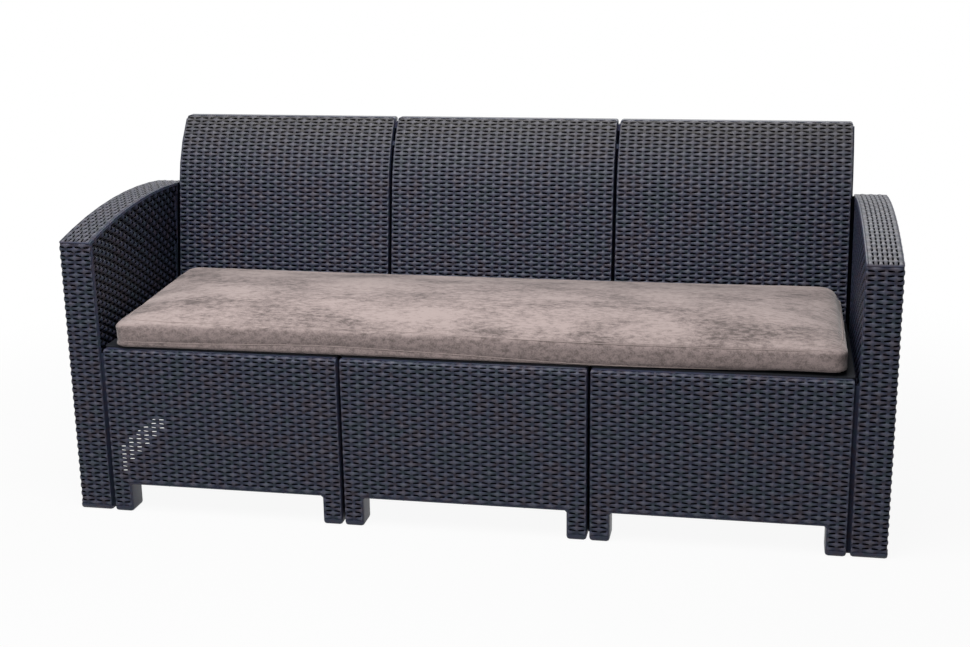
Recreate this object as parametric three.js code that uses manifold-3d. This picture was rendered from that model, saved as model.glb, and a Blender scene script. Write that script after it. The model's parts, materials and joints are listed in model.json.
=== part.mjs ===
// Three-seat garden sofa of moulded panels with a loose seat cushion. Millimetres, +Z up.
// X runs along the seat, the front faces -Y, and the origin is on the ground in the middle of the footprint.
// Each piece is worked out with Y measured back from the front face, and the whole group is moved at the end.

import * as THREE from "three";
import { mergeVertices } from "three/addons/utils/BufferGeometryUtils.js";
import Module from "manifold-3d";

const wasm = await Module();
wasm.setup();

// Whole sofa
const seatWidth = 564; // one seat's panels, edge to edge
const seatGap = 6; // dark gap between neighbouring panels
const armWidth = 80;
const armGap = 8; // from the last panel to the arm
const armDepth = 595;
const sofaHeight = 870;
const wall = 3; // moulded walls
const ribWall = 2.4;
const clearance = 0.3; // between pieces that touch
const edgeRadius = 6; // rolled outer edges
const overrun = 20; // how far a cut runs past what it cuts

// Front panels
const frontHeight = 403;
const panelDepth = 55; // of the returns behind the skin
const footWidth = 46;
const archHeight = 68; // opening between the two feet of a panel
const archRadius = 4;
const cornerRadius = 7;
const lipRadius = 13; // rolled top lip
const panelRibDepth = 30;
const panelRibShares = [-0.25, 0, 0.25]; // of the seat width

// Rear panels, with the shelf that carries the seat and the back
const shelfHeight = 370;
const shelfDepth = 92;
const rearSetback = 49; // outer face in front of the arms' rear edges
const gussetHeight = 60;

// Back shells
const backSetback = 80; // face at shelf height in front of the rear panels' outer face
const leanDegrees = 9;
const rollHeight = 170; // height over which the straight lean rolls over backwards
const rollRadius = 314;
const returnDepth = 55; // of the side returns at the foot
const topDepth = 28; // of the top edge
const topRadius = 9; // where the face meets the top
const topCornerRadius = 6;
const backRibDepth = 26;
const backRibShares = [-0.3, -0.1, 0.1, 0.3]; // of the seat width
const crossRibShares = [0.32, 0.66]; // of the height over the shelf
const lipInset = 9; // of the lips that close the gaps between pieces, behind their faces

// Tongues that hold the back shells in the shelf and the seat panels in the front panels
const tongueWidth = 30;
const tongueThickness = 3;
const tongueLength = 12;
const tongueInset = 14; // behind the face of the back
const tongueShares = [-0.36, -0.12, 0.12, 0.36]; // of the seat width

// Seat panels
const deckThickness = 3;
const deckSetback = 16; // front edge of the deck behind the front face
const deckRadius = 6;
const hookInset = 11; // tongues in front of the front panels' rear edge
const seatRibDepth = 24;
const seatRibShares = [-0.3, -0.1, 0.1, 0.3]; // of the seat width
const seatCrossShares = [0.33, 0.67]; // of the skirt's depth
const drainLength = 62;
const drainWidth = 8;
const drainRadius = 3.6;
const drainColumnShares = [-0.4, -0.2, 0, 0.2, 0.4]; // of the seat width
const drainRowShares = [0.17, 0.5, 0.83]; // of the skirt's depth

// Middle supports
const headWidth = 52; // of the rail under the seat panels
const railThickness = 4;
const webThickness = 4;
const legDepth = 44;
const legWidth = 36; // of the flanges on each leg
const supportArch = 236; // height of the arch between the legs
const supportArchRadius = 60;
const clawReach = 14;
const clawHeight = 40;
const clawShares = [0.27, 0.77]; // of the height from the panels' arch to the shelf

// Arms
const armFront = 655; // height of the top at the front edge
const armRear = 699; // and at the rear edge
const armRise = 27; // crown of the top over the straight line between them
const armFoot = 57; // depth of each foot
const armArch = 84; // opening between the two feet
const armArchRadius = 22;
const armCornerRadius = 9;
const innerDepth = 5; // of the inner panel, up to the joint line
const lapDepth = 8; // lap of the inner panel inside the outer shell
const lapWall = 2.4;
const armRibDepth = 16;
const armRibShares = [0.34, 0.61, 0.86]; // of the height of the top at the front edge
const ledgeWidth = 13; // rail on the inner panel that carries the end of a seat panel
const ledgeGusset = 32;
const ledgeGussetShares = [0.12, 0.5, 0.88]; // of the ledge's length

// Screws and clips
const screwRadius = 2.5;
const screwHeadRadius = 7;
const screwHead = 4;
const screwHeadFlatShare = 0.6; // of the head's radius
const screwLength = 34; // under the head
const screwTip = 5;
const bossRadius = 7;
const padRadius = 11;
const screwPanelDepth = 35; // from the outer face of a front or rear panel
const screwLowRise = 52; // lower panel screw over the panels' arch
const screwHighDrop = 40; // upper panel screw under the shelf
const screwBackInset = 24; // from the rear edge of a back shell's return
const screwBackDrops = [219, 59]; // under the arms' height at the rear edge
const clipRises = [85, 230]; // each clip's lower end over the shelf
const clipLength = 46;
const clipReach = 16;
const clipWall = 3;

// Seat cushion
const cushionEndGap = 25; // from each arm
const cushionShift = 7; // it lies a little nearer to the right arm
const cushionFront = 10; // front edge behind the front face
const cushionRearGap = 1.5; // from the back shells
const cushionBorder = 54; // height of the side border
const cushionRise = 8; // how much higher the top seam is at the rear
const cushionCrown = 40; // swell of the top over the seam
const cushionUnder = 4; // how far the underside's edge is rounded up
const cushionCornerRadius = 40;
const cushionPull = 5; // how far the long sides draw in between the corners
const cushionPinch = 3; // how far the border draws in at mid height
const cushionEndPower = 12; // the higher, the flatter the crown lengthwise and the steeper its ends
const cushionSidePower = 4; // the same from front to rear

// Counts of facets
const tightArcSteps = 1; // in a rounded corner of less than the edges' radius
const smallArcSteps = 2; // in one up to the lip's radius
const largeArcSteps = 4; // in a wider one
const rollSteps = 2; // in a rolled edge
const rollStations = 6; // along the roll of the back
const lipStations = 3; // along the roll of the lips beside it
const armStations = 8; // along the top of an arm
const holeSides = 8;
const cushionCornerSteps = 4;
const cushionLengthSteps = 16;
const cushionDepthSteps = 6;

// Worked out from the sizes above
const seatPitch = seatWidth + seatGap;
const seats = { left: -seatPitch, middle: 0, right: seatPitch };
const sides = { left: -1, right: 1 };
const seatHalf = seatWidth / 2;
const armInner = seatPitch + seatHalf + armGap;
const armOuter = armInner + armWidth;
const deckBottom = frontHeight + clearance;
const deckTop = deckBottom + deckThickness;
const rearFace = armDepth - rearSetback;
const backFoot = rearFace - backSetback;
const deckRear = backFoot - clearance;
const seatFoot = shelfHeight + clearance;
const skirtFront = panelDepth + clearance;
const skirtDepth = deckRear - skirtFront;
const lean = THREE.MathUtils.degToRad(leanDegrees);
const rollStart = sofaHeight - rollHeight;
const rollFoot = backFoot + (rollStart - shelfHeight) * Math.tan(lean);
const hookDepth = panelDepth - hookInset;
const clawInner = seatGap / 2 + wall + clearance;
const jointLine = armInner + innerDepth;
const padFace = armInner - armGap + clearance;
const screwFace = armInner - armGap - wall - clearance; // underside of the screw heads

// Angle of the back's face from upright at a height.
function backTurn(z) {
  return z <= rollStart ? lean : Math.asin(Math.sin(lean) + (z - rollStart) / rollRadius);
}

// How far back the face of the back lies at a height.
function backFace(z) {
  if (z <= rollStart) return backFoot + (z - shelfHeight) * Math.tan(lean);
  return rollFoot + rollRadius * (Math.cos(lean) - Math.cos(backTurn(z)));
}

// How far back the returns of the back reach at a height.
function backRear(z) {
  const share = (z - shelfHeight) / (sofaHeight - shelfHeight);
  return backFace(z) + THREE.MathUtils.lerp(returnDepth, topDepth, share ** 2);
}

// Height of an arm's top at a depth.
function armTop(y) {
  const share = y / armDepth;
  return THREE.MathUtils.lerp(armFront, armRear, share) + 4 * armRise * share * (1 - share);
}

const sofaDepth = Math.max(backRear(sofaHeight), armDepth);
const screwHeights = [archHeight + screwLowRise, shelfHeight - screwHighDrop];
const panelScrews = screwHeights.map((z) => [screwPanelDepth, z]);
const backScrews = screwBackDrops.map((drop) => [backRear(armRear - drop) - screwBackInset, armRear - drop]);
const armScrews = [...panelScrews, ...panelScrews.map(([y, z]) => [rearFace - y, z]), ...backScrews];

// A closed geometry as a solid that can be joined and cut.
function solid(geometry) {
  geometry.deleteAttribute("normal");
  geometry.deleteAttribute("uv");
  const merged = mergeVertices(geometry);
  return new wasm.Manifold(
    new wasm.Mesh({
      numProp: 3,
      vertProperties: new Float32Array(merged.attributes.position.array),
      triVerts: new Uint32Array(merged.index.array),
    }),
  );
}

function geometryOf(manifold) {
  const mesh = manifold.getMesh();
  const geometry = new THREE.BufferGeometry();
  geometry.setAttribute("position", new THREE.BufferAttribute(mesh.vertProperties, 3));
  geometry.setIndex(new THREE.BufferAttribute(mesh.triVerts, 1));
  geometry.computeVertexNormals();
  return geometry;
}

const join = (first, ...others) => others.reduce((sum, part) => sum.add(part), first);
const cut = (whole, ...parts) => parts.reduce((rest, part) => rest.subtract(part), whole);

function arcStepsOf(radius) {
  if (radius > lipRadius) return largeArcSteps;
  return radius < edgeRadius ? tightArcSteps : smallArcSteps;
}

// A closed outline through corners [across, up, radius], each rounded by an arc of its radius.
function roundedOutline(corners) {
  return corners.flatMap(([x, y, radius = 0], i) => {
    const corner = new THREE.Vector2(x, y);
    if (!radius) return [corner];
    const [before, after] = [corners.at(i - 1), corners[(i + 1) % corners.length]].map(([u, v]) =>
      new THREE.Vector2(u, v).sub(corner).normalize(),
    );
    const half = Math.acos(before.dot(after)) / 2;
    const towards = before.clone().add(after).normalize();
    const centre = towards.clone().multiplyScalar(radius / Math.sin(half)).add(corner);
    const spoke = before.clone().multiplyScalar(radius / Math.tan(half)).add(corner).sub(centre);
    const sweep = Math.sign(after.cross(before)) * (Math.PI - 2 * half);
    const steps = arcStepsOf(radius);
    return Array.from({ length: steps + 1 }, (_, k) =>
      spoke.clone().rotateAround(new THREE.Vector2(), (sweep * k) / steps).add(centre),
    );
  });
}

// An outline extruded by a length, with edges rolled inside its own size at both ends.
function extruded(points, length, roll) {
  return new THREE.ExtrudeGeometry(new THREE.Shape(points), {
    depth: length - 2 * roll,
    bevelEnabled: roll > 0,
    bevelThickness: roll,
    bevelSize: roll,
    bevelOffset: -roll,
    bevelSegments: rollSteps,
    steps: 1,
  }).translate(0, 0, roll);
}

const unitX = new THREE.Vector3(1, 0, 0);
const unitY = new THREE.Vector3(0, 1, 0);
const unitZ = new THREE.Vector3(0, 0, 1);
const turnToX = new THREE.Matrix4().makeBasis(unitY, unitZ, unitX);
const turnToY = new THREE.Matrix4().makeBasis(unitX, unitZ, unitY.clone().negate());

// A solid from one X to another whose outline is given in Y and Z.
function prismX(points, from, to, roll = 0) {
  return solid(extruded(points, to - from, roll).applyMatrix4(turnToX).translate(from, 0, 0));
}

// A solid from one Y to another whose outline is given in X and Z.
function prismY(points, from, to, roll = 0) {
  return solid(extruded(points, to - from, roll).applyMatrix4(turnToY).translate(0, to, 0));
}

// A solid from one Z to another whose outline is given in X and Y.
function prismZ(points, from, to) {
  return solid(extruded(points, to - from, 0).translate(0, 0, from));
}

function block([x0, y0, z0], [x1, y1, z1]) {
  const box = new THREE.BoxGeometry(x1 - x0, y1 - y0, z1 - z0);
  return solid(box.translate((x0 + x1) / 2, (y0 + y1) / 2, (z0 + z1) / 2));
}

// A round bar from one X to another.
function barX(radius, from, to, [y, z]) {
  const bar = new THREE.CylinderGeometry(radius, radius, to - from, holeSides);
  return solid(bar.rotateZ(Math.PI / 2).translate((from + to) / 2, y, z));
}

// A plate standing in Y and Z, in the middle of its own thickness at an X.
function standingRib(points, x, thickness) {
  return prismX(points, x - thickness / 2, x + thickness / 2);
}

// Cuts screw holes through both side returns of a panel or shell, at places given as [Y, Z].
function cutScrewHoles(part, places) {
  const inner = seatHalf - footWidth / 2;
  const outer = seatHalf + overrun;
  const holes = places.flatMap((place) => [
    barX(screwRadius + clearance, inner, outer, place),
    barX(screwRadius + clearance, -outer, -inner, place),
  ]);
  return cut(part, ...holes);
}

// Joins ribs and frees the room that the heads of the screws need behind both side returns.
function joinRibs(ribs, places) {
  const inner = seatHalf - footWidth / 2;
  const rooms = places.flatMap((place) => [
    barX(screwHeadRadius + clearance, inner, seatHalf, place),
    barX(screwHeadRadius + clearance, -seatHalf, -inner, place),
  ]);
  return cut(join(...ribs), ...rooms);
}

// A row of tongues across a seat, or the slots that take them once they are grown by a clearance.
function tongueRow(y, from, to, grow = 0) {
  return tongueShares.map((share) => {
    const x = share * seatWidth;
    return block(
      [x - tongueWidth / 2 - grow, y - grow, from],
      [x + tongueWidth / 2 + grow, y + tongueThickness + grow, to],
    );
  });
}

// Front and rear panels

// Outline of a panel that stands on two feet, drawn in on every side by an inset.
function panelOutline(height, inset) {
  const side = seatHalf - inset;
  const foot = seatHalf - footWidth + inset;
  const arch = archHeight + inset;
  const round = cornerRadius - inset / 2;
  return roundedOutline([
    [-side, inset, round],
    [-foot, inset, round],
    [-foot, arch, archRadius],
    [foot, arch, archRadius],
    [foot, inset, round],
    [side, inset, round],
    [side, height - inset, round],
    [-side, height - inset, round],
  ]);
}

// A block whose top front edge rolls over on the lip's radius, drawn in by an inset.
function lipBlank(height, inset) {
  const behind = 2 * panelDepth + overrun;
  return prismX(
    roundedOutline([
      [inset, -overrun],
      [behind, -overrun],
      [behind, height - inset],
      [inset, height - inset, lipRadius - inset],
    ]),
    -seatWidth,
    seatWidth,
  );
}

// A panel as a tray: its skin has rolled edges, returns run all round, and ribs stand inside the open back.
function panelTray(height) {
  const outer = prismY(panelOutline(height, 0), 0, panelDepth + overrun, edgeRadius);
  const room = prismY(panelOutline(height, wall), wall, panelDepth + 2 * overrun);
  const behind = block([-seatWidth, panelDepth, -height], [seatWidth, 2 * panelDepth + overrun, 2 * height]);
  const middle = (archHeight + height) / 2;
  const uprights = panelRibShares.map((share) => {
    const x = share * seatWidth;
    return block([x - ribWall / 2, wall / 2, archHeight + wall / 2], [x + ribWall / 2, panelRibDepth, height]);
  });
  const crossing = block(
    [wall / 2 - seatHalf, wall / 2, middle - ribWall / 2],
    [seatHalf - wall / 2, panelRibDepth, middle + ribWall / 2],
  );
  const shell = cut(outer.intersect(lipBlank(height, 0)), room.intersect(lipBlank(height, wall)), behind);
  const ribs = joinRibs([crossing, ...uprights], panelScrews).intersect(lipBlank(height, wall / 2));
  return join(shell, ribs);
}

// Its top return takes the hooks of the seat panel.
function frontPanel() {
  const slots = tongueRow(hookDepth, frontHeight - tongueLength, frontHeight + overrun, clearance);
  return cutScrewHoles(cut(panelTray(frontHeight), ...slots), panelScrews);
}

// Turned round when it is placed, so here Y runs forwards from its outer face.
function rearPanel() {
  const shelf = block(
    [-seatHalf, panelDepth / 2, shelfHeight - wall],
    [seatHalf, shelfDepth, shelfHeight],
  );
  const gussets = panelRibShares.map((share) =>
    standingRib(
      [
        new THREE.Vector2(wall / 2, shelfHeight - gussetHeight),
        new THREE.Vector2(shelfDepth - wall, shelfHeight - 2 * wall),
        new THREE.Vector2(shelfDepth - wall, shelfHeight - wall / 2),
        new THREE.Vector2(wall / 2, shelfHeight - wall / 2),
      ],
      share * seatWidth,
      ribWall,
    ),
  );
  const tongueFront = rearFace - backFoot - tongueInset - tongueThickness;
  const slots = tongueRow(tongueFront, shelfHeight - tongueLength, shelfHeight + overrun, clearance);
  const whole = join(panelTray(shelfHeight), shelf, ...gussets);
  return cutScrewHoles(cut(whole, ...slots), panelScrews);
}

// Back shells

// Side view of a back shell. Face, foot and top are drawn in by an inset; a rule gives the rear edge.
function backOutline(inset, rear) {
  const top = sofaHeight - inset;
  const heights = [seatFoot + inset];
  for (let k = 0; k < rollStations; k++) {
    heights.push(THREE.MathUtils.lerp(rollStart, top, k / rollStations));
  }
  const face = (z) => backFace(z) + inset / Math.cos(backTurn(z));
  return roundedOutline([
    ...[...heights, top].map((z) => [rear(z), z]),
    [face(top), top, Math.max(0, topRadius - inset)],
    ...heights.toReversed().map((z) => [face(z), z]),
  ]);
}

// Side view of a thin strip that follows a back's face, at a distance behind it.
function backStrip(distance) {
  const heights = [seatFoot + lipInset, rollStart];
  for (let k = 1; k <= lipStations; k++) {
    heights.push(THREE.MathUtils.lerp(rollStart, sofaHeight - lipInset, k / lipStations));
  }
  return roundedOutline([
    ...heights.map((z) => [backFace(z) + distance + ribWall, z]),
    ...heights.toReversed().map((z) => [backFace(z) + distance, z]),
  ]);
}

// Lips on both side returns, so that no light shows between two backs or between a back and an arm.
// They leave room for the pads of the arms.
function backLips() {
  const root = seatHalf - wall / 2;
  const tip = seatHalf + seatGap / 2 - clearance;
  const lip = cut(
    prismX(backStrip(lipInset), root, tip),
    ...backScrews.map((place) => barX(padRadius + clearance, root, tip + overrun, place)),
  );
  return [lip, lip.mirror([1, 0, 0])];
}

// Skin that leans and rolls back, returns all round, upright and cross ribs, and tongues at its foot.
function backShell() {
  const blank = prismX(backOutline(0, (z) => backRear(z) + overrun), -seatHalf, seatHalf, edgeRadius);
  const trim = prismX(backOutline(0, backRear), -seatWidth, seatWidth);
  const view = prismY(
    roundedOutline([
      [-seatHalf, seatFoot],
      [seatHalf, seatFoot],
      [seatHalf, sofaHeight, topCornerRadius],
      [-seatHalf, sofaHeight, topCornerRadius],
    ]),
    0,
    sofaDepth + overrun,
  );
  const room = prismX(backOutline(wall, (z) => backRear(z) + overrun), wall - seatHalf, seatHalf - wall);
  const ribOutline = backOutline(wall / 2, (z) => backFace(z) + backRibDepth);
  const uprights = backRibShares.map((share) => standingRib(ribOutline, share * seatWidth, ribWall));
  const crossing = crossRibShares.map((share) => {
    const z = THREE.MathUtils.lerp(shelfHeight, sofaHeight, share);
    return block(
      [wall / 2 - seatHalf, backFace(z) + wall / 2, z - ribWall / 2],
      [seatHalf - wall / 2, backFace(z) + backRibDepth, z + ribWall / 2],
    );
  });
  const feet = tongueRow(backFoot + tongueInset, seatFoot - tongueLength + clearance, seatFoot + wall / 2);
  const shell = cut(blank.intersect(trim).intersect(view), room);
  const ribs = joinRibs([...uprights, ...crossing], backScrews);
  return cutScrewHoles(join(shell, ribs, ...feet, ...backLips()), backScrews);
}

// Seat panels

function rectangle(x0, y0, x1, y1, radius) {
  return roundedOutline([
    [x0, y0, radius],
    [x1, y0, radius],
    [x1, y1, radius],
    [x0, y1, radius],
  ]);
}

// A deck with drain slots, a skirt round it, ribs under it, and hooks that drop into the front panel.
function seatPanel() {
  const deck = prismZ(rectangle(-seatHalf, deckSetback, seatHalf, deckRear, deckRadius), deckBottom, deckTop);
  const skirt = cut(
    prismZ(rectangle(-seatHalf, skirtFront, seatHalf, deckRear, deckRadius), seatFoot, deckBottom + wall / 2),
    prismZ(
      rectangle(wall - seatHalf, skirtFront + wall, seatHalf - wall, deckRear - wall, deckRadius - wall / 2),
      seatFoot - overrun,
      deckBottom,
    ),
  );
  const lengthwise = seatRibShares.map((share) => {
    const x = share * seatWidth;
    return block(
      [x - ribWall / 2, skirtFront + wall / 2, deckTop - seatRibDepth],
      [x + ribWall / 2, deckRear - wall / 2, deckBottom + wall / 2],
    );
  });
  const crosswise = seatCrossShares.map((share) => {
    const y = skirtFront + share * skirtDepth;
    return block(
      [wall / 2 - seatHalf, y - ribWall / 2, deckTop - seatRibDepth],
      [seatHalf - wall / 2, y + ribWall / 2, deckBottom + wall / 2],
    );
  });
  const hooks = tongueRow(hookDepth, deckBottom - tongueLength, deckBottom + wall / 2);
  const drains = drainColumnShares.flatMap((column) =>
    drainRowShares.map((row) => {
      const x = column * seatWidth;
      const y = skirtFront + row * skirtDepth;
      const [w, l] = [drainWidth / 2, drainLength / 2];
      return prismZ(rectangle(x - w, y - l, x + w, y + l, drainRadius), seatFoot, deckTop + overrun);
    }),
  );
  return cut(join(deck, skirt, ...lengthwise, ...crosswise, ...hooks), ...drains);
}

// Middle supports

// A trestle under the seam of two seats. Forked claws on its front and rear legs hold the panels' returns.
function middleSupport() {
  const front = skirtFront;
  const rear = rearFace - panelDepth - clearance;
  const railTop = seatFoot - clearance;
  const railRear = rearFace - shelfDepth - clearance;
  const webTop = railTop - railThickness;
  const flange = (from, to, width, bottom, top) => block([-width / 2, from, bottom], [width / 2, to, top]);
  const arch = (grow) => [
    [front + legDepth - grow, -overrun],
    [rear - legDepth + grow, -overrun],
    [rear - legDepth + grow, supportArch + grow, supportArchRadius],
    [front + legDepth - grow, supportArch + grow, supportArchRadius],
  ];
  const web = standingRib(
    roundedOutline([
      [front, 0],
      [rear, 0],
      [rear, webTop],
      [front, webTop],
    ]),
    0,
    webThickness,
  );
  const rim = standingRib(roundedOutline(arch(wall)), 0, legWidth);
  const ground = block([-legWidth, front - overrun, -2 * overrun], [legWidth, rear + overrun, 0]);
  const tongue = seatGap / 2 - clearance;
  const claws = [
    [front - clawReach, front + wall / 2],
    [rear - wall / 2, rear + clawReach],
  ].flatMap(([from, to]) =>
    clawShares.flatMap((share) => {
      const z = THREE.MathUtils.lerp(archHeight, shelfHeight, share);
      const prong = (x0, x1) => block([x0, from, z - clawHeight / 2], [x1, to, z + clawHeight / 2]);
      return [prong(-clawInner - wall, -clawInner), prong(-tongue, tongue), prong(clawInner, clawInner + wall)];
    }),
  );
  const body = join(
    web,
    cut(rim, ground),
    flange(front, front + wall, legWidth, 0, webTop),
    flange(rear - wall, rear, legWidth, 0, webTop),
    flange(front, railRear, headWidth, webTop, railTop),
    flange(front, front + legDepth, legWidth, 0, railThickness),
    flange(rear - legDepth, rear, legWidth, 0, railThickness),
  );
  return join(cut(body, standingRib(roundedOutline(arch(0)), 0, 2 * legWidth)), ...claws);
}

// Arms, worked out for the right end

// Side view of an arm that stands on two feet under a convex top, drawn in on every side by an inset.
function armOutline(inset) {
  const [front, rear] = [inset, armDepth - inset];
  const arch = armArch + inset;
  const round = armCornerRadius - inset / 2;
  const top = Array.from({ length: armStations + 1 }, (_, k) => {
    const y = THREE.MathUtils.lerp(rear, front, k / armStations);
    return [y, armTop(y) - inset, k % armStations ? 0 : round];
  });
  return roundedOutline([
    [front, inset, round],
    [armFoot - inset, inset, round],
    [armFoot - inset, arch, armArchRadius],
    [armDepth - armFoot + inset, arch, armArchRadius],
    [armDepth - armFoot + inset, inset, round],
    [rear, inset, round],
    ...top,
  ]);
}

// Outer side, top, front and rear in one moulding, with a boss inside for each screw.
function armShell() {
  const blank = prismX(armOutline(0), armInner, armOuter, edgeRadius);
  const openSide = block(
    [armInner - overrun, -overrun, -overrun],
    [jointLine + clearance, armDepth + overrun, sofaHeight],
  );
  const room = prismX(armOutline(wall), armInner - overrun, armOuter - wall);
  const bossFoot = armInner + wall + clearance;
  const bosses = armScrews.map((place) => barX(bossRadius, bossFoot, armOuter - wall / 2, place));
  const pilotEnd = screwFace + screwLength + wall;
  const pilots = armScrews.map((place) =>
    barX(screwRadius + clearance, bossFoot - overrun, pilotEnd, place),
  );
  return cut(join(cut(blank, openSide, room), ...bosses), ...pilots);
}

// The side towards the seat. It laps inside the outer shell, stands off from the seats on round pads,
// and carries the end of a seat panel on a ledge.
function armPanel() {
  const blank = prismX(armOutline(0), armInner, armOuter, edgeRadius);
  const beyond = block([jointLine, -overrun, -overrun], [armOuter + overrun, armDepth + overrun, sofaHeight]);
  const room = prismX(armOutline(wall), armInner + wall, armOuter);
  const lapInside = prismX(armOutline(wall + clearance + lapWall), armInner, armOuter);
  const root = cut(prismX(armOutline(wall / 2), armInner + wall / 2, jointLine), lapInside);
  const lap = cut(prismX(armOutline(wall + clearance), armInner + wall / 2, jointLine + lapDepth), lapInside);
  const ribInset = wall + clearance + lapWall / 2;
  const ribs = armRibShares.map((share) => {
    const z = share * armFront;
    return block(
      [armInner + wall / 2, ribInset, z - ribWall / 2],
      [armInner + armRibDepth, armDepth - ribInset, z + ribWall / 2],
    );
  });
  const ribRoom = prismX(armOutline(ribInset), armInner, armOuter);
  const body = join(cut(blank, beyond, room), root, lap, join(...ribs).intersect(ribRoom));
  const pads = armScrews.map((place) => barX(padRadius, padFace, armInner + wall / 2, place));
  const holes = armScrews.map((place) => barX(screwRadius + clearance, padFace - overrun, jointLine, place));
  return cut(join(body, ...pads, gapRibs(), ...armLedge()), ...holes);
}

// Upright ribs that meet the returns of the front and rear panels, and one that lies behind a back's lip.
function gapRibs() {
  const root = armInner + wall / 2;
  const upright = (y, top) => block([padFace, y, 0], [root, y + ribWall, top]);
  const ribs = join(
    upright(lipInset, frontHeight - lipRadius),
    upright(rearFace - lipInset - ribWall, shelfHeight - lipRadius),
    prismX(backStrip(lipInset + ribWall + clearance), padFace, root),
  );
  return ribs.intersect(prismX(armOutline(edgeRadius), padFace, root));
}

// Ledge under the end of a seat panel, on triangular gussets.
function armLedge() {
  const top = seatFoot - clearance;
  const tip = armInner - ledgeWidth;
  const root = armInner + wall / 2;
  const front = skirtFront;
  const rear = rearFace - shelfDepth - clearance;
  const gussets = ledgeGussetShares.map((share) => {
    const y = THREE.MathUtils.lerp(front, rear, share);
    const triangle = [
      new THREE.Vector2(tip + wall, top - wall / 2),
      new THREE.Vector2(root, top - ledgeGusset),
      new THREE.Vector2(root, top - wall / 2),
    ];
    return prismY(triangle, y - ribWall / 2, y + ribWall / 2);
  });
  return [block([tip, front, top - wall], [root, rear, top]), ...gussets];
}

// Screws and clips

// A pan-head screw along X, its head's underside at X 0.
function armScrew() {
  const profile = [
    [0, screwHead],
    [screwHeadRadius * screwHeadFlatShare, screwHead],
    [screwHeadRadius, screwHead / 2],
    [screwHeadRadius, 0],
    [screwRadius, 0],
    [screwRadius, screwTip - screwLength],
    [0, -screwLength],
  ].reverse();
  const lathe = new THREE.LatheGeometry(profile.map(([r, h]) => new THREE.Vector2(r, h)), holeSides);
  return solid(lathe.rotateZ(Math.PI / 2));
}

// An E-shaped clip that slides over two neighbouring returns from behind; its inner face is at Y 0.
function backClip() {
  const outer = clawInner + clipWall;
  const tongue = seatGap / 2 - clearance;
  return prismZ(
    roundedOutline([
      [-outer, clipWall, clipWall / 2],
      [-outer, -clipReach],
      [-clawInner, -clipReach],
      [-clawInner, 0],
      [-tongue, 0],
      [-tongue, -clipReach],
      [tongue, -clipReach],
      [tongue, 0],
      [clawInner, 0],
      [clawInner, -clipReach],
      [outer, -clipReach],
      [outer, clipWall, clipWall / 2],
    ]),
    0,
    clipLength,
  );
}

// Seat cushion

// Stops along one side of the cushion: close together at the corners, wider between them.
function cushionStops(half, steps) {
  const inner = half - cushionCornerRadius;
  const corner = Array.from({ length: cushionCornerSteps }, (_, k) =>
    THREE.MathUtils.lerp(half, inner, k / cushionCornerSteps),
  );
  const middle = Array.from({ length: steps + 1 }, (_, k) => THREE.MathUtils.lerp(-inner, inner, k / steps));
  return [...corner.map((at) => -at), ...middle, ...corner.toReversed()];
}

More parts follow.
